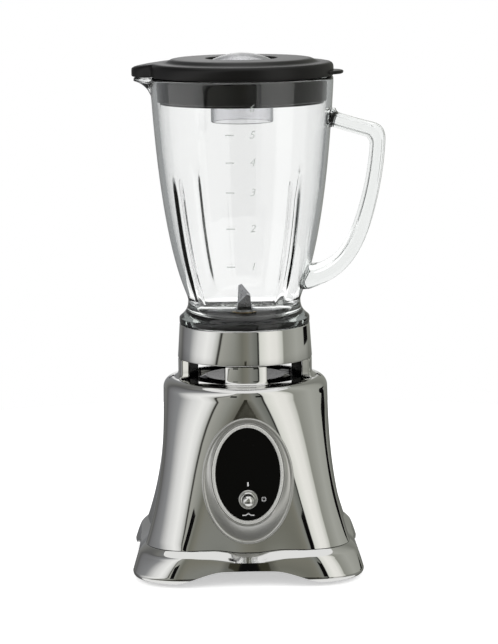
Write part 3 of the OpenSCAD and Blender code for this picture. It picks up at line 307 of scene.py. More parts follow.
def square_r(phi, half, corner):
    """Radius of a square with rounded corners at an angle."""
    a, b = abs(math.cos(phi)), abs(math.sin(phi))
    straight = half - corner
    if min(a, b) * half <= max(a, b) * straight:
        return half / max(a, b)
    return straight * (a + b) + math.sqrt(corner ** 2 - straight ** 2 * (a - b) ** 2)


def flare(z):
    """0 at the shoulder, 1 at the seam."""
    return min(1.0, max(0.0, (shoulder_start - z) / (shoulder_start - seam_z)))


def body_r(phi, z, inset=0.0):
    """Radius of the body's outside at an angle and a height, less the inset. Its corners are
    tightest at the seam and open into a circle at the shoulder."""
    t = flare(z)
    half = body_top_r + (body_foot_half - body_top_r) * t ** body_flare
    corner = body_corner_r + (half - body_corner_r) * (1 - t) ** 3
    return (square_r(phi, half - inset, corner - inset)
            - body_dish * t ** 2 * math.cos(2 * phi) ** 2)


def seam_at(phi):
    """Height of the seam, which dips in the middle of the front."""
    arc = abs(math.remainder(phi + math.pi / 2, math.tau)) * body_foot_half
    return seam_z - seam_dip * smooth(1.2 - arc / dip_half)


def ring(radius_at, z_at, count=ring_points):
    """A ring of points in metres from a radius and a height at each angle, in millimetres."""
    points = []
    for i in range(count):
        phi = math.tau * i / count
        r, z = radius_at(phi), z_at(phi)
        points.append((r * math.cos(phi) * MM, r * math.sin(phi) * MM, z * MM))
    return points


def skin(name, rings, closed=False):
    """A skin of quads through rings of equally many points; closed joins the last to the first."""
    n = len(rings[0])
    spans = len(rings) if closed else len(rings) - 1
    faces = []
    for j in range(spans):
        a, b = j * n, (j + 1) % len(rings) * n
        faces += [(a + i, a + (i + 1) % n, b + (i + 1) % n, b + i) for i in range(n)]
    if not closed:
        faces += [tuple(range(n - 1, -1, -1)), tuple((len(rings) - 1) * n + i for i in range(n))]
    return mesh_object(name, [p for r in rings for p in r], faces)


def finish_mesh(obj, crease=35.0):
    """Merges doubled points, turns the faces outward and shades smooth up to the crease angle."""
    work = bmesh.new()
    work.from_mesh(obj.data)
    bmesh.ops.remove_doubles(work, verts=work.verts, dist=1e-6)
    bmesh.ops.dissolve_degenerate(work, edges=work.edges, dist=1e-6)
    bmesh.ops.recalc_face_normals(work, faces=work.faces)
    for face in work.faces:
        face.smooth = True
    for edge in work.edges:
        edge.smooth = len(edge.link_faces) == 2 and edge.calc_face_angle() < math.radians(crease)
    work.to_mesh(obj.data)
    work.free()
    return obj


def join_solids(obj, others, operation="UNION"):
    """Joins closed meshes into obj, or cuts them from it, and removes them."""
    for other in others:
        step = obj.modifiers.new("join", "BOOLEAN")
        step.object = other
        step.operation = operation
        step.solver = "EXACT"
    graph = bpy.context.evaluated_depsgraph_get()
    result = bpy.data.meshes.new_from_object(obj.evaluated_get(graph))
    obj.modifiers.clear()
    obj.data = result
    for other in others:
        bpy.data.objects.remove(other)
    return obj


body_levels = 48
round_steps = 12
rings = []
body_low = seam_z + seam_gap
for k in range(body_levels + 1):
    z = body_low + (shoulder_start - body_low) * k / body_levels
    rings.append(ring(lambda phi: body_r(phi, z), lambda phi: z))
rings[0] = ring(lambda phi: body_r(phi, seam_z), lambda phi: seam_at(phi) + seam_gap)
for k in range(1, round_steps + 1):
    turn = math.radians(90 * k / round_steps)
    rings.append(ring(lambda phi: body_top_r - shoulder_round * (1 - math.cos(turn)),
                      lambda phi: shoulder_start + shoulder_round * math.sin(turn)))
for r, z in ((well_r + 0.5, shoulder_z), (well_r, shoulder_z - 0.5),
             (well_r, shoulder_z - shoulder_plate)):
    rings.append(ring(lambda phi: r, lambda phi: z))
for k in range(round_steps, -1, -1):
    turn = math.radians(90 * k / round_steps)
    rings.append(ring(
        lambda phi: body_top_r - cast_wall - (shoulder_round - cast_wall) * (1 - math.cos(turn)),
        lambda phi: shoulder_start + (shoulder_round - shoulder_plate) * math.sin(turn)))
for k in range(body_levels - 1, 0, -1):
    z = body_low + (shoulder_start - body_low) * k / body_levels
    rings.append(ring(lambda phi: body_r(phi, z, cast_wall), lambda phi: z))
rings.append(ring(lambda phi: body_r(phi, seam_z, cast_wall),
                  lambda phi: seam_at(phi) + seam_gap))
base_casting = skin("base_casting", rings, closed=True)


def post(bearing):
    """One post: an upright with rounded corners, flared into the shoulder at its foot."""
    inner = well_r + 0.2
    levels = [(shoulder_z - 1, post_fillet)]
    for k in range(9):
        turn = math.radians(90 * k / 8)
        levels.append((shoulder_z - 0.05 + post_fillet * (1 - math.cos(turn)),
                       post_fillet * (1 - math.sin(turn))))
    levels += [(post_top_z - 1.0, 0), (post_top_z - 0.4, -0.25), (post_top_z, -0.9)]
    sections = []
    for z, grow in levels:
        outer = post_r + grow
        half_angle = math.radians(post_angle / 2) + grow * 0.35 / post_r
        section = []
        for i in range(72):
            turn = math.tau * i / 72
            reach = square_r(turn, 1, 0.25)
            u, v = reach * math.cos(turn), reach * math.sin(turn)
            r = (inner + outer) / 2 + u * (outer - inner) / 2
            phi = bearing + v * half_angle
            section.append((r * math.cos(phi) * MM, r * math.sin(phi) * MM, z * MM))
        sections.append(section)
    return skin("post", sections)


join_solids(base_casting, [post(math.radians(90 * k)) for k in range(4)])
finish_mesh(base_casting)
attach(base_casting, "base")
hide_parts("base_housing")


def polished_chrome(name, ripple, haze):
    """Chromium plate over a polished casting: a mirror, with the slow ripple that buffing leaves
    and a thin uneven haze of handling."""
    material, tree = new_material(name)
    surface(tree, {
        "Base Color": linear("#dcdcda"), "Metallic": 1.0,
        "Roughness": spread(tree, noise(tree, 30, 4.0), haze, haze * 1.8, 0.35, 0.75),
        "Normal": relief_of(tree, noise(tree, 18, 1.0), ripple, 1.0)})
    return material


chrome = polished_chrome("chromium_plate_polished", 0.04, 0.035)
base_casting.data.materials.append(chrome)


# ---- Foot skirt --------------------------------------------------------------------------------
# The lower casting: a chromed ring with a bulging foot at each corner, an arch in the middle of
# each side and a ledge that runs up to the seam. A lip inside it locates the housing.
skirt_half = 90.5
skirt_mid_half = 84.2
arch_z = 11.7
arch_half = 19.0
arch_foot = 58.0
ledge_z = 20.8
skirt_corner_r = 38.0
skirt_lip = 3.6
foot_swell = 0.65
foot_round = 3.4
skirt_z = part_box("foot_skirt")[0].z / MM
foot_level = skirt_z + 4.5


def lower_edge(phi):
    """Height of the skirt's lower edge: an arch on each side, down to the feet."""
    c, s = abs(math.cos(phi)), abs(math.sin(phi))
    along = min(c, s) / max(c, s) * skirt_mid_half
    return arch_z - (arch_z - skirt_z) * smooth((along - arch_half) / (arch_foot - arch_half))


def foot_face(z):
    """Half-width of a foot's outer face at a height."""
    if z >= foot_level:
        rise = max(0.0, (seam_z - z) / (seam_z - foot_level))
        return body_foot_half + (skirt_half - body_foot_half) * rise ** foot_swell
    drop = (foot_level - z) / (foot_level - skirt_z)
    return skirt_half - foot_round * (1 - math.sqrt(max(0.0, 1 - drop ** 2 * 0.96)))


def skirt_r(phi, z, inset=0.0):
    """Radius of the skirt's outside."""
    middle = abs(math.cos(2 * phi)) ** 2.4
    half = foot_face(z) * (1 - middle) + skirt_mid_half * middle
    return square_r(phi, half - inset, skirt_corner_r - inset)


def ledge_at(phi):
    """Height of the ledge's outer edge, which goes down a little with the seam."""
    return ledge_z - (seam_z - seam_at(phi))


def skirt_ring(rise, inset):
    """A ring round the skirt's face: rise 0 is the lower edge, 1 the ledge's edge."""
    def height(phi):
        low = lower_edge(phi)
        return low + (ledge_at(phi) - low) * rise ** 1.3
    return ring(lambda phi: skirt_r(phi, height(phi), inset), height)


def ledge_ring(t):
    """A ring on the ledge, which is hollow in the middle of a side and bulges at the corners."""
    def height(phi):
        edge = ledge_at(phi)
        return edge + (seam_at(phi) - edge) * t ** (0.7 + 0.3 * math.cos(2 * phi) ** 2)
    return ring(lambda phi: skirt_r(phi, ledge_z) * (1 - t) + body_r(phi, seam_z) * t, height)


def seam_ring(z, inset):
    """A level ring that follows the body's outline."""
    return ring(lambda phi: body_r(phi, z, inset), lambda phi: z)


def seam_edge(inset):
    """A ring along the seam."""
    return ring(lambda phi: body_r(phi, seam_z, inset), seam_at)


skirt_levels = 24
lip_out = cast_wall + 0.2
lip_in = lip_out + 2.2
rings = [skirt_ring(k / skirt_levels, 0) for k in range(skirt_levels + 1)]
rings += [ledge_ring(k / 8) for k in range(1, 8)]
rings += [seam_edge(0), seam_edge(lip_out), seam_ring(seam_z + skirt_lip, lip_out),
          seam_ring(seam_z + skirt_lip, lip_in), seam_ring(seam_z - 3, lip_in)]
rings += [skirt_ring(k / 8, cast_wall) for k in range(6, -1, -1)]
foot_casting = finish_mesh(skin("foot_casting", rings, closed=True), crease=50)
foot_casting.data.materials.append(chrome)
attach(foot_casting, "base")
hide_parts("foot_skirt")


# ---- Deck and grommet --------------------------------------------------------------------------
# The black well inside the posts: a glossy phenolic moulding with a raised boss and four uprights
# that centre the collar. The rubber and satin plastic pieces get their finishes here too.
def moulded_plastic(name, hex_colour, roughness, grain, depth, shine=0.5):
    """Moulded plastic: one colour all through, and the fine grain of the mould."""
    material, tree = new_material(name)
    surface(tree, {
        "Base Color": linear(hex_colour), "Roughness": roughness, "IOR": 1.5,
        "Specular IOR Level": shine, "Normal": relief_of(tree, noise(tree, grain), depth, 0.2)})
    return material


black_gloss = moulded_plastic("phenolic_moulded_glossy", "#060607", 0.1, 0.8, 0.05, shine=0.3)
black_matt = moulded_plastic("polypropylene_moulded_satin", "#1a1a1b", 0.42, 0.6, 0.25)
black_rubber = moulded_plastic("rubber_moulded_matt", "#18181a", 0.7, 0.5, 0.4)


def paint(node, material):
    """Gives a CAD node one material."""
    nodes[node].data.materials.clear()
    nodes[node].data.materials.append(material)


paint("deck", black_gloss)
for node in ("deck_seal", "cord_grommet", "rubber_feet", "shaft_slinger", "motor_mounts",
             "sealing_ring"):
    paint(node, black_rubber)
for node in ("bottom_cover", "switch_body", "brush_holders", "carbon_brushes", "cooling_fan",
             "blade_holder", "driven_coupling"):
    paint(node, black_matt)


# ---- Motor and drive ---------------------------------------------------------------------------
# The inner works and the blades keep their CAD shape and get bare metal: steel, enamelled copper
# wire and brass.
def bare_metal(name, hex_colour, roughness):
    """Bare metal with the uneven shine that turning and grinding leave."""
    material, tree = new_material(name)
    surface(tree, {
        "Base Color": linear(hex_colour), "Metallic": 1.0,
        "Roughness": spread(tree, noise(tree, 2, 3.0), roughness * 0.9, roughness * 1.1)})
    return material


steel = bare_metal("stainless_steel_ground", "#b9bbbd", 0.28)
copper = bare_metal("copper_wire_enamelled", "#b0643a", 0.35)
brass = bare_metal("brass_turned", "#c9ae74", 0.3)
for node in ("cover_screws", "top_bracket", "bottom_bracket", "bracket_bolts", "mount_screws",
             "top_bearing", "bottom_bearing", "stator_core", "brush_springs", "motor_shaft",
             "armature_core", "drive_stud", "blade_shaft", "blade_spacer", "lower_blade",
             "upper_blade", "blade_nut"):
    paint(node, steel)
for node in ("field_coils", "armature_winding", "commutator"):
    paint(node, copper)
for node in ("switch_terminals", "blade_bushing"):
    paint(node, brass)


# ---- Jar collar --------------------------------------------------------------------------------
# The chromed ring that screws onto the jar's foot and stands on the posts. It tapers upward and
# its edges are rolled.
def lathe(name, profile, steps=192, crease=35.0):
    """Turns a closed outline of (radius, height) in millimetres round the drive axis."""
    rings = [ring(lambda phi: r, lambda phi: z, steps) for r, z in profile]
    return finish_mesh(skin(name, rings, closed=True), crease)


def rounded(corners):
    """An outline with its corners rounded: each corner is (radius, height, rounding)."""
    outline = []
    for i, (x, z, size) in enumerate(corners):
        here = Vector((x, z))
        if size == 0:
            outline.append(tuple(here))
            continue
        before = Vector(corners[i - 1][:2]) - here
        after = Vector(corners[(i + 1) % len(corners)][:2]) - here
        start = here + before.normalized() * min(size, before.length / 2)
        end = here + after.normalized() * min(size, after.length / 2)
        for k in range(6):
            t = k / 5
            outline.append(tuple((1 - t) ** 2 * start + 2 * (1 - t) * t * here + t * t * end))
    return outline


collar_low, collar_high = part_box("jar_collar")
collar_z, collar_top = collar_low.z / MM, collar_high.z / MM
collar_r = collar_high.x / MM
collar_top_r = 51.0
lower_bore = well_r + 0.5
upper_bore = 46.0
holder_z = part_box("sealing_ring")[0].z / MM - 3.6
shelf_z = holder_z - 3.0
collar = lathe("collar_casting", rounded([
    (lower_bore, collar_z, 0.9), (collar_r, collar_z, 1.1), (collar_top_r, collar_top, 0.8),
    (upper_bore, collar_top, 0.4), (upper_bore, holder_z - 0.2, 0),
    (lower_bore - 6, holder_z - 0.2, 0), (lower_bore - 6, shelf_z, 0.6), (lower_bore, shelf_z, 0)]))
collar.data.materials.append(chrome)
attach(collar, "collar")
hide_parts("jar_collar")


# ---- Glass jar ---------------------------------------------------------------------------------
# Pressed soda-lime glass, fire-polished at the rim: a wall that widens upward, four flutes, a
# pouring lip and a moulded handle.
jar_turn = math.radians(-7)
glass_wall = 4.4
rim_r = 71.0
waist_r = 44.0
waist_z = 209.0
neck_r = 36.4
neck_out_r = 45.4
rim_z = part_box("glass_jar")[1].z / MM
foot_low = collar_top + 0.3
foot_top = foot_low + 5.6
foot_edge_r = collar_top_r
neck_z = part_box("glass_jar")[0].z / MM
spout_reach = 84.2
spout_r = 20.0
spout_edge = 3.2
spout_stem_r, spout_stem_z = 5.2, 26.0


def quad(a, b, c, t):
    """A point on a quadratic curve; it takes numbers and vectors alike."""
    return (1 - t) ** 2 * a + 2 * (1 - t) * t * b + t * t * c


def cubic(a, b, c, d, t):
    """A point on a cubic curve."""
    return (1 - t) * quad(a, b, c, t) + t * quad(b, c, d, t)


def wall_point(t):
    """The wall's outline from the waist to the rim."""
    return cubic(Vector((waist_r, waist_z)), Vector((waist_r - 1.7, waist_z + 6.7)),
                 Vector((rim_r - 8.3, waist_z + 23.2)), Vector((rim_r, rim_z - 5)), t)


wall_table = [wall_point(k / 400) for k in range(401)]


def wall_r_at(z):
    """Outer radius of the plain wall at a height."""
    if z >= wall_table[-1].y:
        return rim_r
    for a, b in zip(wall_table, wall_table[1:]):
        if a.y <= z <= b.y:
            return a.x + (b.x - a.x) * (z - a.y) / (b.y - a.y)
    return waist_r


def soft_max(a, b, blend):
    """The larger of two lengths, with a fillet between them."""
    return (a + b + math.sqrt((a - b) ** 2 + blend ** 2)) / 2 - blend / 2 * math.exp(
        -abs(a - b) / blend)


def lip_radius(depth):
    """Radius of the pouring lip's trumpet at a depth below the rim."""
    if depth <= spout_edge:
        return spout_r
    low, high = 0.0, 1.0
    for _ in range(24):
        t = (low + high) / 2
        if quad(spout_edge, spout_edge + 3.8, spout_stem_z, t) < depth:
            low = t
        else:
            high = t
    return quad(spout_r, spout_stem_r + 0.3, spout_stem_r, t)


def lip_reach(phi, depth, inset):
    """How far the lip reaches at an angle from its middle, or 0 beside it."""
    centre = spout_reach - spout_r
    r = lip_radius(depth) - inset
    side = centre * math.sin(phi)
    if math.cos(phi) < 0 or r <= abs(side) or depth > spout_stem_z:
        return 0.0
    return centre * math.cos(phi) + math.sqrt(r * r - side * side)


flute_low = waist_z + 0.5
flute_high = flute_low + 104
flute_half = 5.0
flute_depth = 2.4


def flute_press(phi, z):
    """Depth of the four flutes, which stand halfway between spout, handle and faces and fade out
    at both ends."""
    along = (z - flute_low) / (flute_high - flute_low)
    if not 0 < along < 1:
        return 0.0
    offset = (phi % (math.pi / 2) - math.pi / 4) * wall_r_at(z)
    ends = min(1.0, 4 * along * (1 - along) * 1.6)
    return flute_depth * ends * max(0.0, 1 - (offset / flute_half) ** 2) ** 0.9


def wall_ring(z, inset, press):
    """A ring of the jar's wall at a height: the plain wall, the flutes and the pouring lip."""
    def radius(phi):
        plain = wall_r_at(z) - inset - press * flute_press(phi, z)
        reach = lip_reach(phi - math.pi, rim_z - z, inset * 0.85)
        return soft_max(plain, reach, 3.0) if reach > 0 else plain
    return ring(radius, lambda phi: z, jar_points)


jar_points = 384
rings = []


def plain_ring(r, z):
    """A round ring of the jar."""
    rings.append(ring(lambda phi: r, lambda phi: z, jar_points))


for r, z in ((neck_r, neck_z), (neck_out_r - 0.6, neck_z), (neck_out_r, neck_z + 0.6),
             (neck_out_r, foot_low - 0.6), (neck_out_r + 0.6, foot_low),
             (foot_edge_r - 1.2, foot_low), (foot_edge_r - 0.3, foot_low + 0.3),
             (foot_edge_r, foot_low + 1.2), (foot_edge_r, foot_top - 1.4),
             (foot_edge_r - 0.2, foot_top - 0.6)):
    plain_ring(r, z)
for k in range(11):
    bend = quad(Vector((foot_edge_r - 0.7, foot_top)), Vector((waist_r, foot_top + 4.5)),
                Vector((waist_r, waist_z)), k / 10)
    plain_ring(*bend)
wall_heights = [waist_z + (rim_z - 1.6 - waist_z) * (k / 120) for k in range(1, 121)]
for z in wall_heights:
    rings.append(wall_ring(z, 0.0, 1.0))
for inset, z in ((0.4, rim_z - 0.6), (1.5, rim_z), (3.0, rim_z), (3.9, rim_z - 0.5)):
    def rim_radius(phi):
        reach = lip_reach(phi - math.pi, 0, inset)
        return soft_max(rim_r - inset, reach, 3.0) if reach > 0 else rim_r - inset
    rings.append(ring(rim_radius, lambda phi: z, jar_points))
for z in reversed(wall_heights):
    rings.append(wall_ring(z, glass_wall, 0.35))
for k in range(9):
    bend = quad(Vector((waist_r - glass_wall, waist_z)),
                Vector((waist_r - glass_wall, foot_top - 2)), Vector((neck_r, foot_top - 6)), k / 8)
    plain_ring(*bend)
jar = skin("jar_glass", rings, closed=True)

# The handle is a bar swept along its middle line, with its two ends trimmed inside the wall.
handle_reach = 110.6
handle_w = 18.0
handle_t = 11.4
handle_x = handle_reach - handle_t / 2
handle_top = rim_z - 32.5
handle_low = waist_z + 18
bar_end = Vector((handle_x - 7, handle_top - 8.7))
grip_start = Vector((handle_x, handle_top - 21))
grip_end = Vector((handle_x - 11.7, handle_low + 44.8))
handle_steps = 128
section_points = 200
handle_corner = 0.6
# Lines pressed in its two faces: their place across the bar and their half width as shares of
# half its thickness, and their depth as a share of half its width.
handle_lines = ((-0.4, 0.13, 0.1), (0.7, 0.08, 0.045))


def handle_line(s):
    """The handle's middle line in four curves, from the rim to the waist."""
    if s <= 1:
        return quad(Vector((rim_r - 2.2, handle_top)), Vector((rim_r + 5, handle_top - 2.7)),
                    bar_end, s)
    if s <= 2:
        return quad(bar_end, Vector((handle_x + 0.9, handle_top - 10.5)), grip_start, s - 1)
    if s <= 3:
        return quad(grip_start, Vector((handle_x - 2, handle_top - 50)), grip_end, s - 2)
    return quad(grip_end, Vector((grip_end.x - 13.2, handle_low + 3.5)),
                Vector((waist_r + 4, handle_low + 1.6)), s - 3)


def handle_section(k):
    """One section of the bar: rounded, wider than thick, and flared where it meets the wall."""
    s = 4 * k / handle_steps
    here = handle_line(s)
    along = (handle_line(min(4, s + 0.02)) - handle_line(max(0, s - 0.02))).normalized()
    side = Vector((-along.y, along.x))
    grow = 1 + 0.2 * math.exp(-((s - 1.45) / 0.3) ** 2) + 0.5 * (s / 4) ** 5
    flare_up = 0.45 * math.exp(-(s / 0.13) ** 2) + 0.3 * math.exp(-((4 - s) / 0.12) ** 2)
    run_out = smooth(s / 0.25) * smooth((4 - s) / 0.3)
    section = []
    for i in range(section_points):
        turn = math.tau * (i + 0.5) / section_points
        reach = square_r(turn, 1, handle_corner)
        across = reach * math.cos(turn)
        pressed = sum(deep * math.exp(-((across - at) / half) ** 2)
                      for at, half, deep in handle_lines)
        u = across * handle_t / 2 * (grow + flare_up)
        v = (reach * math.sin(turn) * handle_w / 2 * (1 + flare_up * 0.7)
             * (1 - pressed * run_out))
        x, z = here.x + side.x * u, here.y + side.y * u
        if k in (0, handle_steps):
            middle = wall_r_at(z) - glass_wall * 0.45
            x = math.sqrt(middle ** 2 - v ** 2)
        section.append((x * MM, v * MM, z * MM))
    return section


handle = skin("handle", [handle_section(k) for k in range(handle_steps + 1)])
for solid in (jar, handle):
    finish_mesh(solid)
join_solids(jar, [handle])
jar.data.transform(Matrix.Rotation(jar_turn, 4, "Z"))
finish_mesh(jar, crease=50)
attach(jar, "jar")
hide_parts("glass_jar")

# Clear glass with the faint green of its iron, drawn by how far light goes through it.
pressed_glass, tree = new_material("soda_lime_glass_pressed")
closed = surface(tree, {
    "Base Color": linear("#ffffff"), "Roughness": 0.0, "IOR": 1.52, "Transmission Weight": 1.0,
    "Normal": relief_of(tree, noise(tree, 22, 1.0), 0.05, 1.0)})
tint = add(tree, "ShaderNodeVolumeAbsorption", {"Color": linear("#bccac2"), "Density": 12.0})
tree.links.new(tint.outputs[0], closed.inputs["Volume"])
jar.data.materials.append(pressed_glass)


# ---- Marks on the jar --------------------------------------------------------------------------
# Raised marks pressed in the glass: a short bar and a plain number for each cup, drawn flat and
# bent onto the front of the wall.
def jar_point(x, z, proud):
    """A point on the jar's front wall, x millimetres to the right of its middle."""
    r = wall_r_at(z) + proud
    bearing = -math.pi / 2 + x / wall_r_at(z)
    return (r * math.cos(bearing) * MM, r * math.sin(bearing) * MM, z * MM)


def wrap_on_jar(obj):
    """Bends a flat mesh, drawn in millimetres in X and Y with Z as its relief, onto the wall."""
    for vertex in obj.data.vertices:
        vertex.co = jar_point(vertex.co.x, vertex.co.y, vertex.co.z)
    return obj


mark_relief, tree = new_material("soda_lime_glass_raised_marks")
surface(tree, {
    "Base Color": linear("#d9dfda"), "IOR": 1.52, "Transmission Weight": 0.55,
    "Roughness": spread(tree, noise(tree, 0.6), 0.18, 0.32)})

slab_faces = ((3, 2, 1, 0), (4, 5, 6, 7), (0, 1, 5, 4), (1, 2, 6, 5), (2, 3, 7, 6), (3, 0, 4, 7))
digit_x = 6.0
bar_left, bar_right, bar_half = -14.0, -7.5, 0.35
mark_heights = [242.5, 272.5, 300.5, 323.5, 344.5, 364.5]
for number, z in enumerate(mark_heights, start=1):
    digit = bpy.data.curves.new(f"mark_{number}", "FONT")
    digit.body = str(number)
    digit.size = 8.5
    digit.align_x = "CENTER"
    digit.align_y = "CENTER"
    digit.shear = 0.25
    digit.extrude = 0.25
    digit.offset = -0.12
    digit_obj = bpy.data.objects.new(f"mark_{number}", digit)
    bpy.context.scene.collection.objects.link(digit_obj)
    bpy.context.view_layer.update()
    mesh = bpy.data.meshes.new_from_object(
        digit_obj.evaluated_get(bpy.context.evaluated_depsgraph_get()))
    bpy.data.objects.remove(digit_obj)
    mesh.transform(Matrix.Translation((digit_x, z, 0.3)))
    relief = bpy.data.objects.new(f"mark_{number}", mesh)
    bpy.context.scene.collection.objects.link(relief)
    bar = [(bar_left, z - bar_half), (bar_right, z - bar_half), (bar_right, z + bar_half),
           (bar_left, z + bar_half)]
    bar_obj = mesh_object(f"mark_bar_{number}", [(x, y, h) for h in (0.05, 0.5) for x, y in bar],
                          slab_faces)
    for piece in (relief, bar_obj):
        wrap_on_jar(piece)
        piece.data.materials.clear()
        piece.data.materials.append(mark_relief)
        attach(piece, "jar")


# ---- Lid ---------------------------------------------------------------------------------------
# Black moulded polypropylene: a brim with a raised middle, a cover over the pouring lip, a thumb
# tab over the handle, and a plug that closes the mouth.
brim_r = 71.2
brim_h = 10.5
crown_r = 57.0
crown_h = 3.3
cover_reach = 85.6
cover_r = 20.0
plug_depth = 20.0
plug_r = rim_r - 4.7
plug_wall = 3.0
lid_z = rim_z + 0.3
brim_top = lid_z + brim_h
crown_z = brim_top + crown_h
cap_r = 24.3
cap_hole_r = cap_r + 0.4
cap_flange_r = cap_r + 2.7
cap_seat_z = crown_z - 5.4


def brim_reach(phi):
    """How far the brim reaches: round, with the cover over the pouring lip on one side."""
    centre = cover_reach - cover_r
    ahead, side = -centre * math.cos(phi), centre * math.sin(phi - math.pi)
    if ahead < 0 or abs(side) >= cover_r:
        return brim_r
    return soft_max(brim_r, ahead + math.sqrt(cover_r ** 2 - side ** 2), 8.0)


def lid_ring(r, z, edge=0.0, droop=0.0):
    """A ring of the lid: edge 1 follows the cover's reach, and droop lowers the cover's nose."""
    def radius(phi):
        return r + edge * (brim_reach(phi) - brim_r)
    return ring(radius, lambda phi: z - droop * (brim_reach(phi) - brim_r), 256)


def plug_r_at(z):
    """The plug tapers with the mouth of the jar, a little clear of the glass."""
    return min(plug_r, wall_r_at(z) - glass_wall - 0.3)


plug_low = rim_z - plug_depth
rings = [lid_ring(cap_hole_r, lid_z + 4.5), lid_ring(plug_r - plug_wall - 1, lid_z + 4.5),
         lid_ring(plug_r - plug_wall, lid_z + 3.5), lid_ring(plug_r - plug_wall, plug_low),
         lid_ring(plug_r - 2.9, plug_low), lid_ring(plug_r - 2.9, plug_low + 1.6),
         lid_ring(plug_r_at(plug_low) - 0.4, plug_low + 1.7)]
rings += [lid_ring(plug_r_at(z), z) for z in [plug_low + 2.2 + 1.8 * k for k in range(10)]]
rings += [lid_ring(plug_r, lid_z - 0.2), lid_ring(plug_r + 0.3, lid_z)]
for r, z, edge, droop in (
        (brim_r - 1.2, 0.0, 1.0, 0.0), (brim_r - 0.3, 0.35, 1.0, 0.0), (brim_r, 1.2, 1.0, 0.0),
        (brim_r, 3.2, 1.0, 0.03), (brim_r, 5.2, 1.0, 0.06), (brim_r - 0.1, 7.4, 1.0, 0.1),
        (brim_r - 0.5, 8.6, 0.98, 0.12), (brim_r - 1.2, 9.6, 0.93, 0.13),
        (brim_r - 2.2, 10.2, 0.85, 0.13), (brim_r - 3.6, 10.5, 0.7, 0.1),
        (brim_r - 6, 10.6, 0.5, 0.05), (crown_r + 4.5, 10.65, 0.2, 0.0),
        (crown_r + 2.2, 10.9, 0.0, 0.0), (crown_r + 0.6, 11.6, 0.0, 0.0),
        (crown_r - 1.0, 12.6, 0.0, 0.0), (crown_r - 2.6, 13.3, 0.0, 0.0),
        (crown_r - 4.5, 13.65, 0.0, 0.0), (crown_r - 7, 13.8, 0.0, 0.0)):
    rings.append(lid_ring(r, lid_z + z, edge, droop))
rings += [lid_ring(cap_flange_r + 1.2, crown_z), lid_ring(cap_flange_r + 0.5, crown_z - 0.7),
          lid_ring(cap_flange_r + 0.5, cap_seat_z), lid_ring(cap_hole_r, cap_seat_z)]
lid = finish_mesh(skin("lid_moulding", rings, closed=True), crease=40)

tab_reach = 78.9
tab_nose, tab_root, tab_half = 13.0, 8.0, 17.0
tab = []
for z, inset in ((1.5, 1.2), (1.8, 0.4), (2.6, 0.0), (3.4, 0.0), (4.0, 0.5), (4.2, 1.4)):
    section = []
    for i in range(64):
        turn = math.tau * i / 64
        u, v = math.cos(turn), math.sin(turn)
        x = tab_reach - tab_nose + ((tab_nose if u > 0 else tab_root) - inset) * u
        section.append((x * MM, (tab_half - inset) * v * MM, (lid_z + z) * MM))
    tab.append(section)
tab = finish_mesh(skin("tab", tab))
join_solids(lid, [tab])
lid.data.transform(Matrix.Rotation(jar_turn, 4, "Z"))
finish_mesh(lid, crease=40)
lid.data.materials.append(
    moulded_plastic("lid_polypropylene_satin", "#0e0d0d", 0.34, 0.9, 0.2, shine=0.28))
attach(lid, "lid")
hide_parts("lid")


# ---- Filler cap --------------------------------------------------------------------------------
# Clear moulded acrylic: a low dome over a tube that also serves as a measure. The tube is open
# below, and a flange round its top sits in the lid.
cap_low, cap_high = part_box("filler_cap")
cap_wall = 2.0
dome_top = cap_high.z / MM
dome_edge_z = crown_z - 3.2
dome_rise = dome_top - dome_edge_z
ball = (cap_flange_r ** 2 + dome_rise ** 2) / (2 * dome_rise)
tube_low = cap_low.z / MM
profile = [(cap_r - cap_wall, tube_low + 0.3), (cap_r - cap_wall + 0.4, tube_low),
           (cap_r - 0.6, tube_low), (cap_r - 0.1, tube_low + 0.5), (cap_r, cap_seat_z + 0.15),
           (cap_flange_r - 0.4, cap_seat_z + 0.15), (cap_flange_r, cap_seat_z + 0.6),
           (cap_flange_r, dome_edge_z - 0.3)]
for k in range(1, 21):
    r = cap_flange_r * (1 - k / 20)
    profile.append((r, dome_top - ball + math.sqrt(ball ** 2 - r ** 2)))
for k in range(17):
    r = (cap_r - cap_wall) * k / 16
    profile.append((r, dome_top - cap_wall - ball + math.sqrt(ball ** 2 - r ** 2)))
cap = lathe("cap_clear", profile, steps=128)
clear_acrylic, tree = new_material("acrylic_moulded_clear")
surface(tree, {
    "Base Color": linear("#f1f1f3"), "IOR": 1.49, "Transmission Weight": 1.0,
    "Roughness": spread(tree, noise(tree, 9, 4.0), 0.03, 0.09, 0.3, 0.7)})
cap.data.materials.append(clear_acrylic)
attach(cap, "filler_cap")
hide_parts("filler_cap")


# ---- Control panel -----------------------------------------------------------------------------
# An oval surround in satin silver with a rolled rim, a bright bezel and a glossy black plate that
# carries the toggle and three printed signs. It leans back with the front of the body.
plate_mesh = nodes["control_panel"].data
front_faces = [p for p in plate_mesh.polygons if p.normal.y < -0.9]
front_points = [plate_mesh.vertices[i].co for p in front_faces for i in p.vertices]
panel_x = Vector((1, 0, 0))
panel_z = sum((p.normal * p.area for p in front_faces), Vector()).normalized()
panel_y = panel_z.cross(panel_x)
plate_w, plate_h = 24.9, 35.6
plate_up = 5.6
bezel_w = 2.6
surround_w, surround_h = 35.3, 48.5
surround_proud = 4.4
surround_back = -6.0
plate_z = surround_proud - 1.4
toggle_down = 13.7
front_heights = [p.dot(panel_y) for p in front_points]
plate_middle = (min(front_heights) + max(front_heights)) / 2
plate_depth = sum(p.dot(panel_z) for p in front_points) / len(front_points)
panel_origin = panel_y * (plate_middle - plate_up * MM) + panel_z * (plate_depth - plate_z * MM)
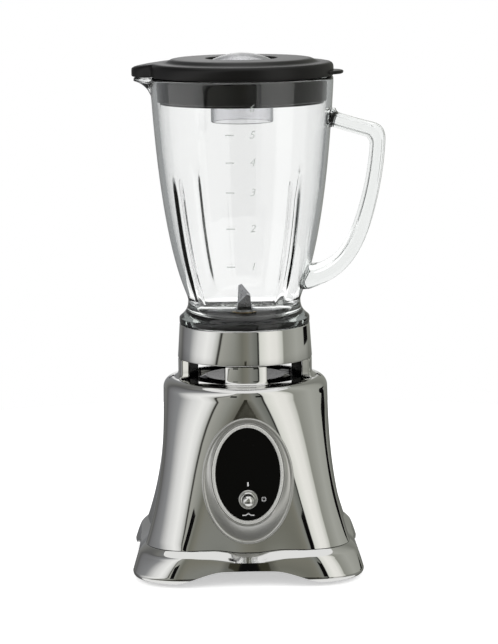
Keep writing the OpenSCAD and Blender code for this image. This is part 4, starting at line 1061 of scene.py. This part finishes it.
on_panel = Matrix.Translation(panel_origin) @ Matrix((
    (panel_x.x, panel_y.x, panel_z.x, 0), (panel_x.y, panel_y.y, panel_z.y, 0),
    (panel_x.z, panel_y.z, panel_z.z, 0), (0, 0, 0, 1)))


def oval_ring(w, h, z, up=0.0, count=160):
    """An oval ring in the panel's plane, in metres."""
    turns = [math.tau * i / count for i in range(count)]
    return [(w * math.cos(t) * MM, (up + h * math.sin(t)) * MM, z * MM) for t in turns]


def set_on_panel(obj, material):
    """Places a piece drawn in the panel's plane, and rides it on the base."""
    obj.data.transform(on_panel)
    obj.data.materials.append(material)
    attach(obj, "base")
    return obj


bezel_out_w, bezel_out_h = plate_w + bezel_w, plate_h + bezel_w + 0.2
rings = []
for inset, z in ((0, surround_back), (0, 0.6), (0.15, 1.3), (0.55, 1.85), (1.1, 2.1), (1.7, 1.95),
                 (2.1, 1.55), (2.5, 1.35)):
    rings.append(oval_ring(surround_w - inset, surround_h - inset, z))
inner_w, inner_h = bezel_out_w + 0.9, bezel_out_h + 0.9
for k in range(1, 13):
    t = k / 12
    z = 1.35 + (surround_proud - 1.35) * (0.35 * t + 0.65 * t ** 2.2)
    rings.append(oval_ring((surround_w - 2.5) * (1 - t) + inner_w * t,
                           (surround_h - 2.5) * (1 - t) + inner_h * t, z, plate_up * t))
for grow, z in ((0.5, surround_proud - 0.15), (0.25, surround_proud - 0.6), (0.2, 0.1)):
    rings.append(oval_ring(bezel_out_w + grow, bezel_out_h + grow, z, plate_up))
for z in (0.1, surround_back):
    rings.append(oval_ring(plate_w - 3, plate_h - 3, z, plate_up))
surround = finish_mesh(skin("panel_surround_moulding", rings, closed=True), crease=50)

satin_silver, tree = new_material("abs_moulded_satin_silver_paint")
surface(tree, {
    "Base Color": linear("#c6c6c3"), "Metallic": 0.85, "Roughness": 0.3,
    "Normal": relief_of(tree, noise(tree, 0.6), 0.08, 0.2)})
set_on_panel(surround, satin_silver)
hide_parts("panel_surround")

rings = []
for inset, z in ((0.0, 0.1), (0.0, 4.4), (0.2, 4.85), (0.6, 5.08), (1.3, 5.1), (2.0, 5.0),
                 (2.4, 4.7), (2.6, 4.2), (2.6, 0.1)):
    rings.append(oval_ring(bezel_out_w - inset, bezel_out_h - inset * 1.05, z, plate_up))
bezel = finish_mesh(skin("bezel_ring", rings, closed=True), crease=60)
# The bezel is hot-stamped with a matt silver foil, which scatters light and stays pale all round.
foil, tree = new_material("silver_foil_hot_stamped")
surface(tree, {
    "Base Color": linear("#d6d6d2"), "Metallic": 0.35,
    "Roughness": spread(tree, noise(tree, 0.8), 0.2, 0.34)})
set_on_panel(bezel, foil)
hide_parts("panel_bezel")

plate_gloss = moulded_plastic("acrylic_plate_glossy_black", "#040404", 0.1, 1.5, 0.02, shine=0.15)
paint("control_panel", plate_gloss)

sign_ink, tree = new_material("enamel_ink_printed_silver")
surface(tree, {
    "Base Color": linear("#d8d8d8"), "Roughness": spread(tree, noise(tree, 0.25), 0.4, 0.6)})


def sign(name, strokes, width):
    """A printed sign: flat strokes 0.08 mm proud of the plate, each a line of points."""
    vertices, faces = [], []
    for points in strokes:
        for start, end in zip(points, points[1:]):
            a, b = Vector(start), Vector(end)
            along = (b - a).normalized() * width / 2
            across = Vector((-along.y, along.x))
            corners = [a - along + across, a - along - across, b + along - across,
                       b + along + across]
            base = len(vertices)
            for z in (plate_z - 0.02, plate_z + 0.08):
                vertices += [(c.x * MM, c.y * MM, z * MM) for c in corners]
            faces += [tuple(base + i for i in face) for face in slab_faces]
    obj = finish_mesh(mesh_object(name, vertices, faces), crease=30)
    return set_on_panel(obj, sign_ink)


toggle_y = -toggle_down
sign("sign_on", [[(0, toggle_y + 10.6), (0, toggle_y + 12.6)]], 1.1)
off_x, off_r, off_steps = 12.0, 1.45, 20
turns = [math.tau * i / off_steps for i in range(off_steps + 1)]
circle = [(off_x + off_r * math.cos(t), toggle_y + off_r * math.sin(t)) for t in turns]
sign("sign_off", [circle], 0.9)
sign("sign_pulse", [[(-4.2, toggle_y - 12.2), (-2.0, toggle_y - 12.2), (0, toggle_y - 10.9),
                     (2.0, toggle_y - 12.2), (4.2, toggle_y - 12.2)]], 0.75)


# ---- Toggle ------------------------------------------------------------------------------------
# A ball-ended lever in a bushing, held to the plate by a ring nut. All three keep their CAD shape
# and get their finish here.
paint("toggle_nut", satin_silver)
paint("toggle_bushing", chrome)
paint("toggle_lever", chrome)
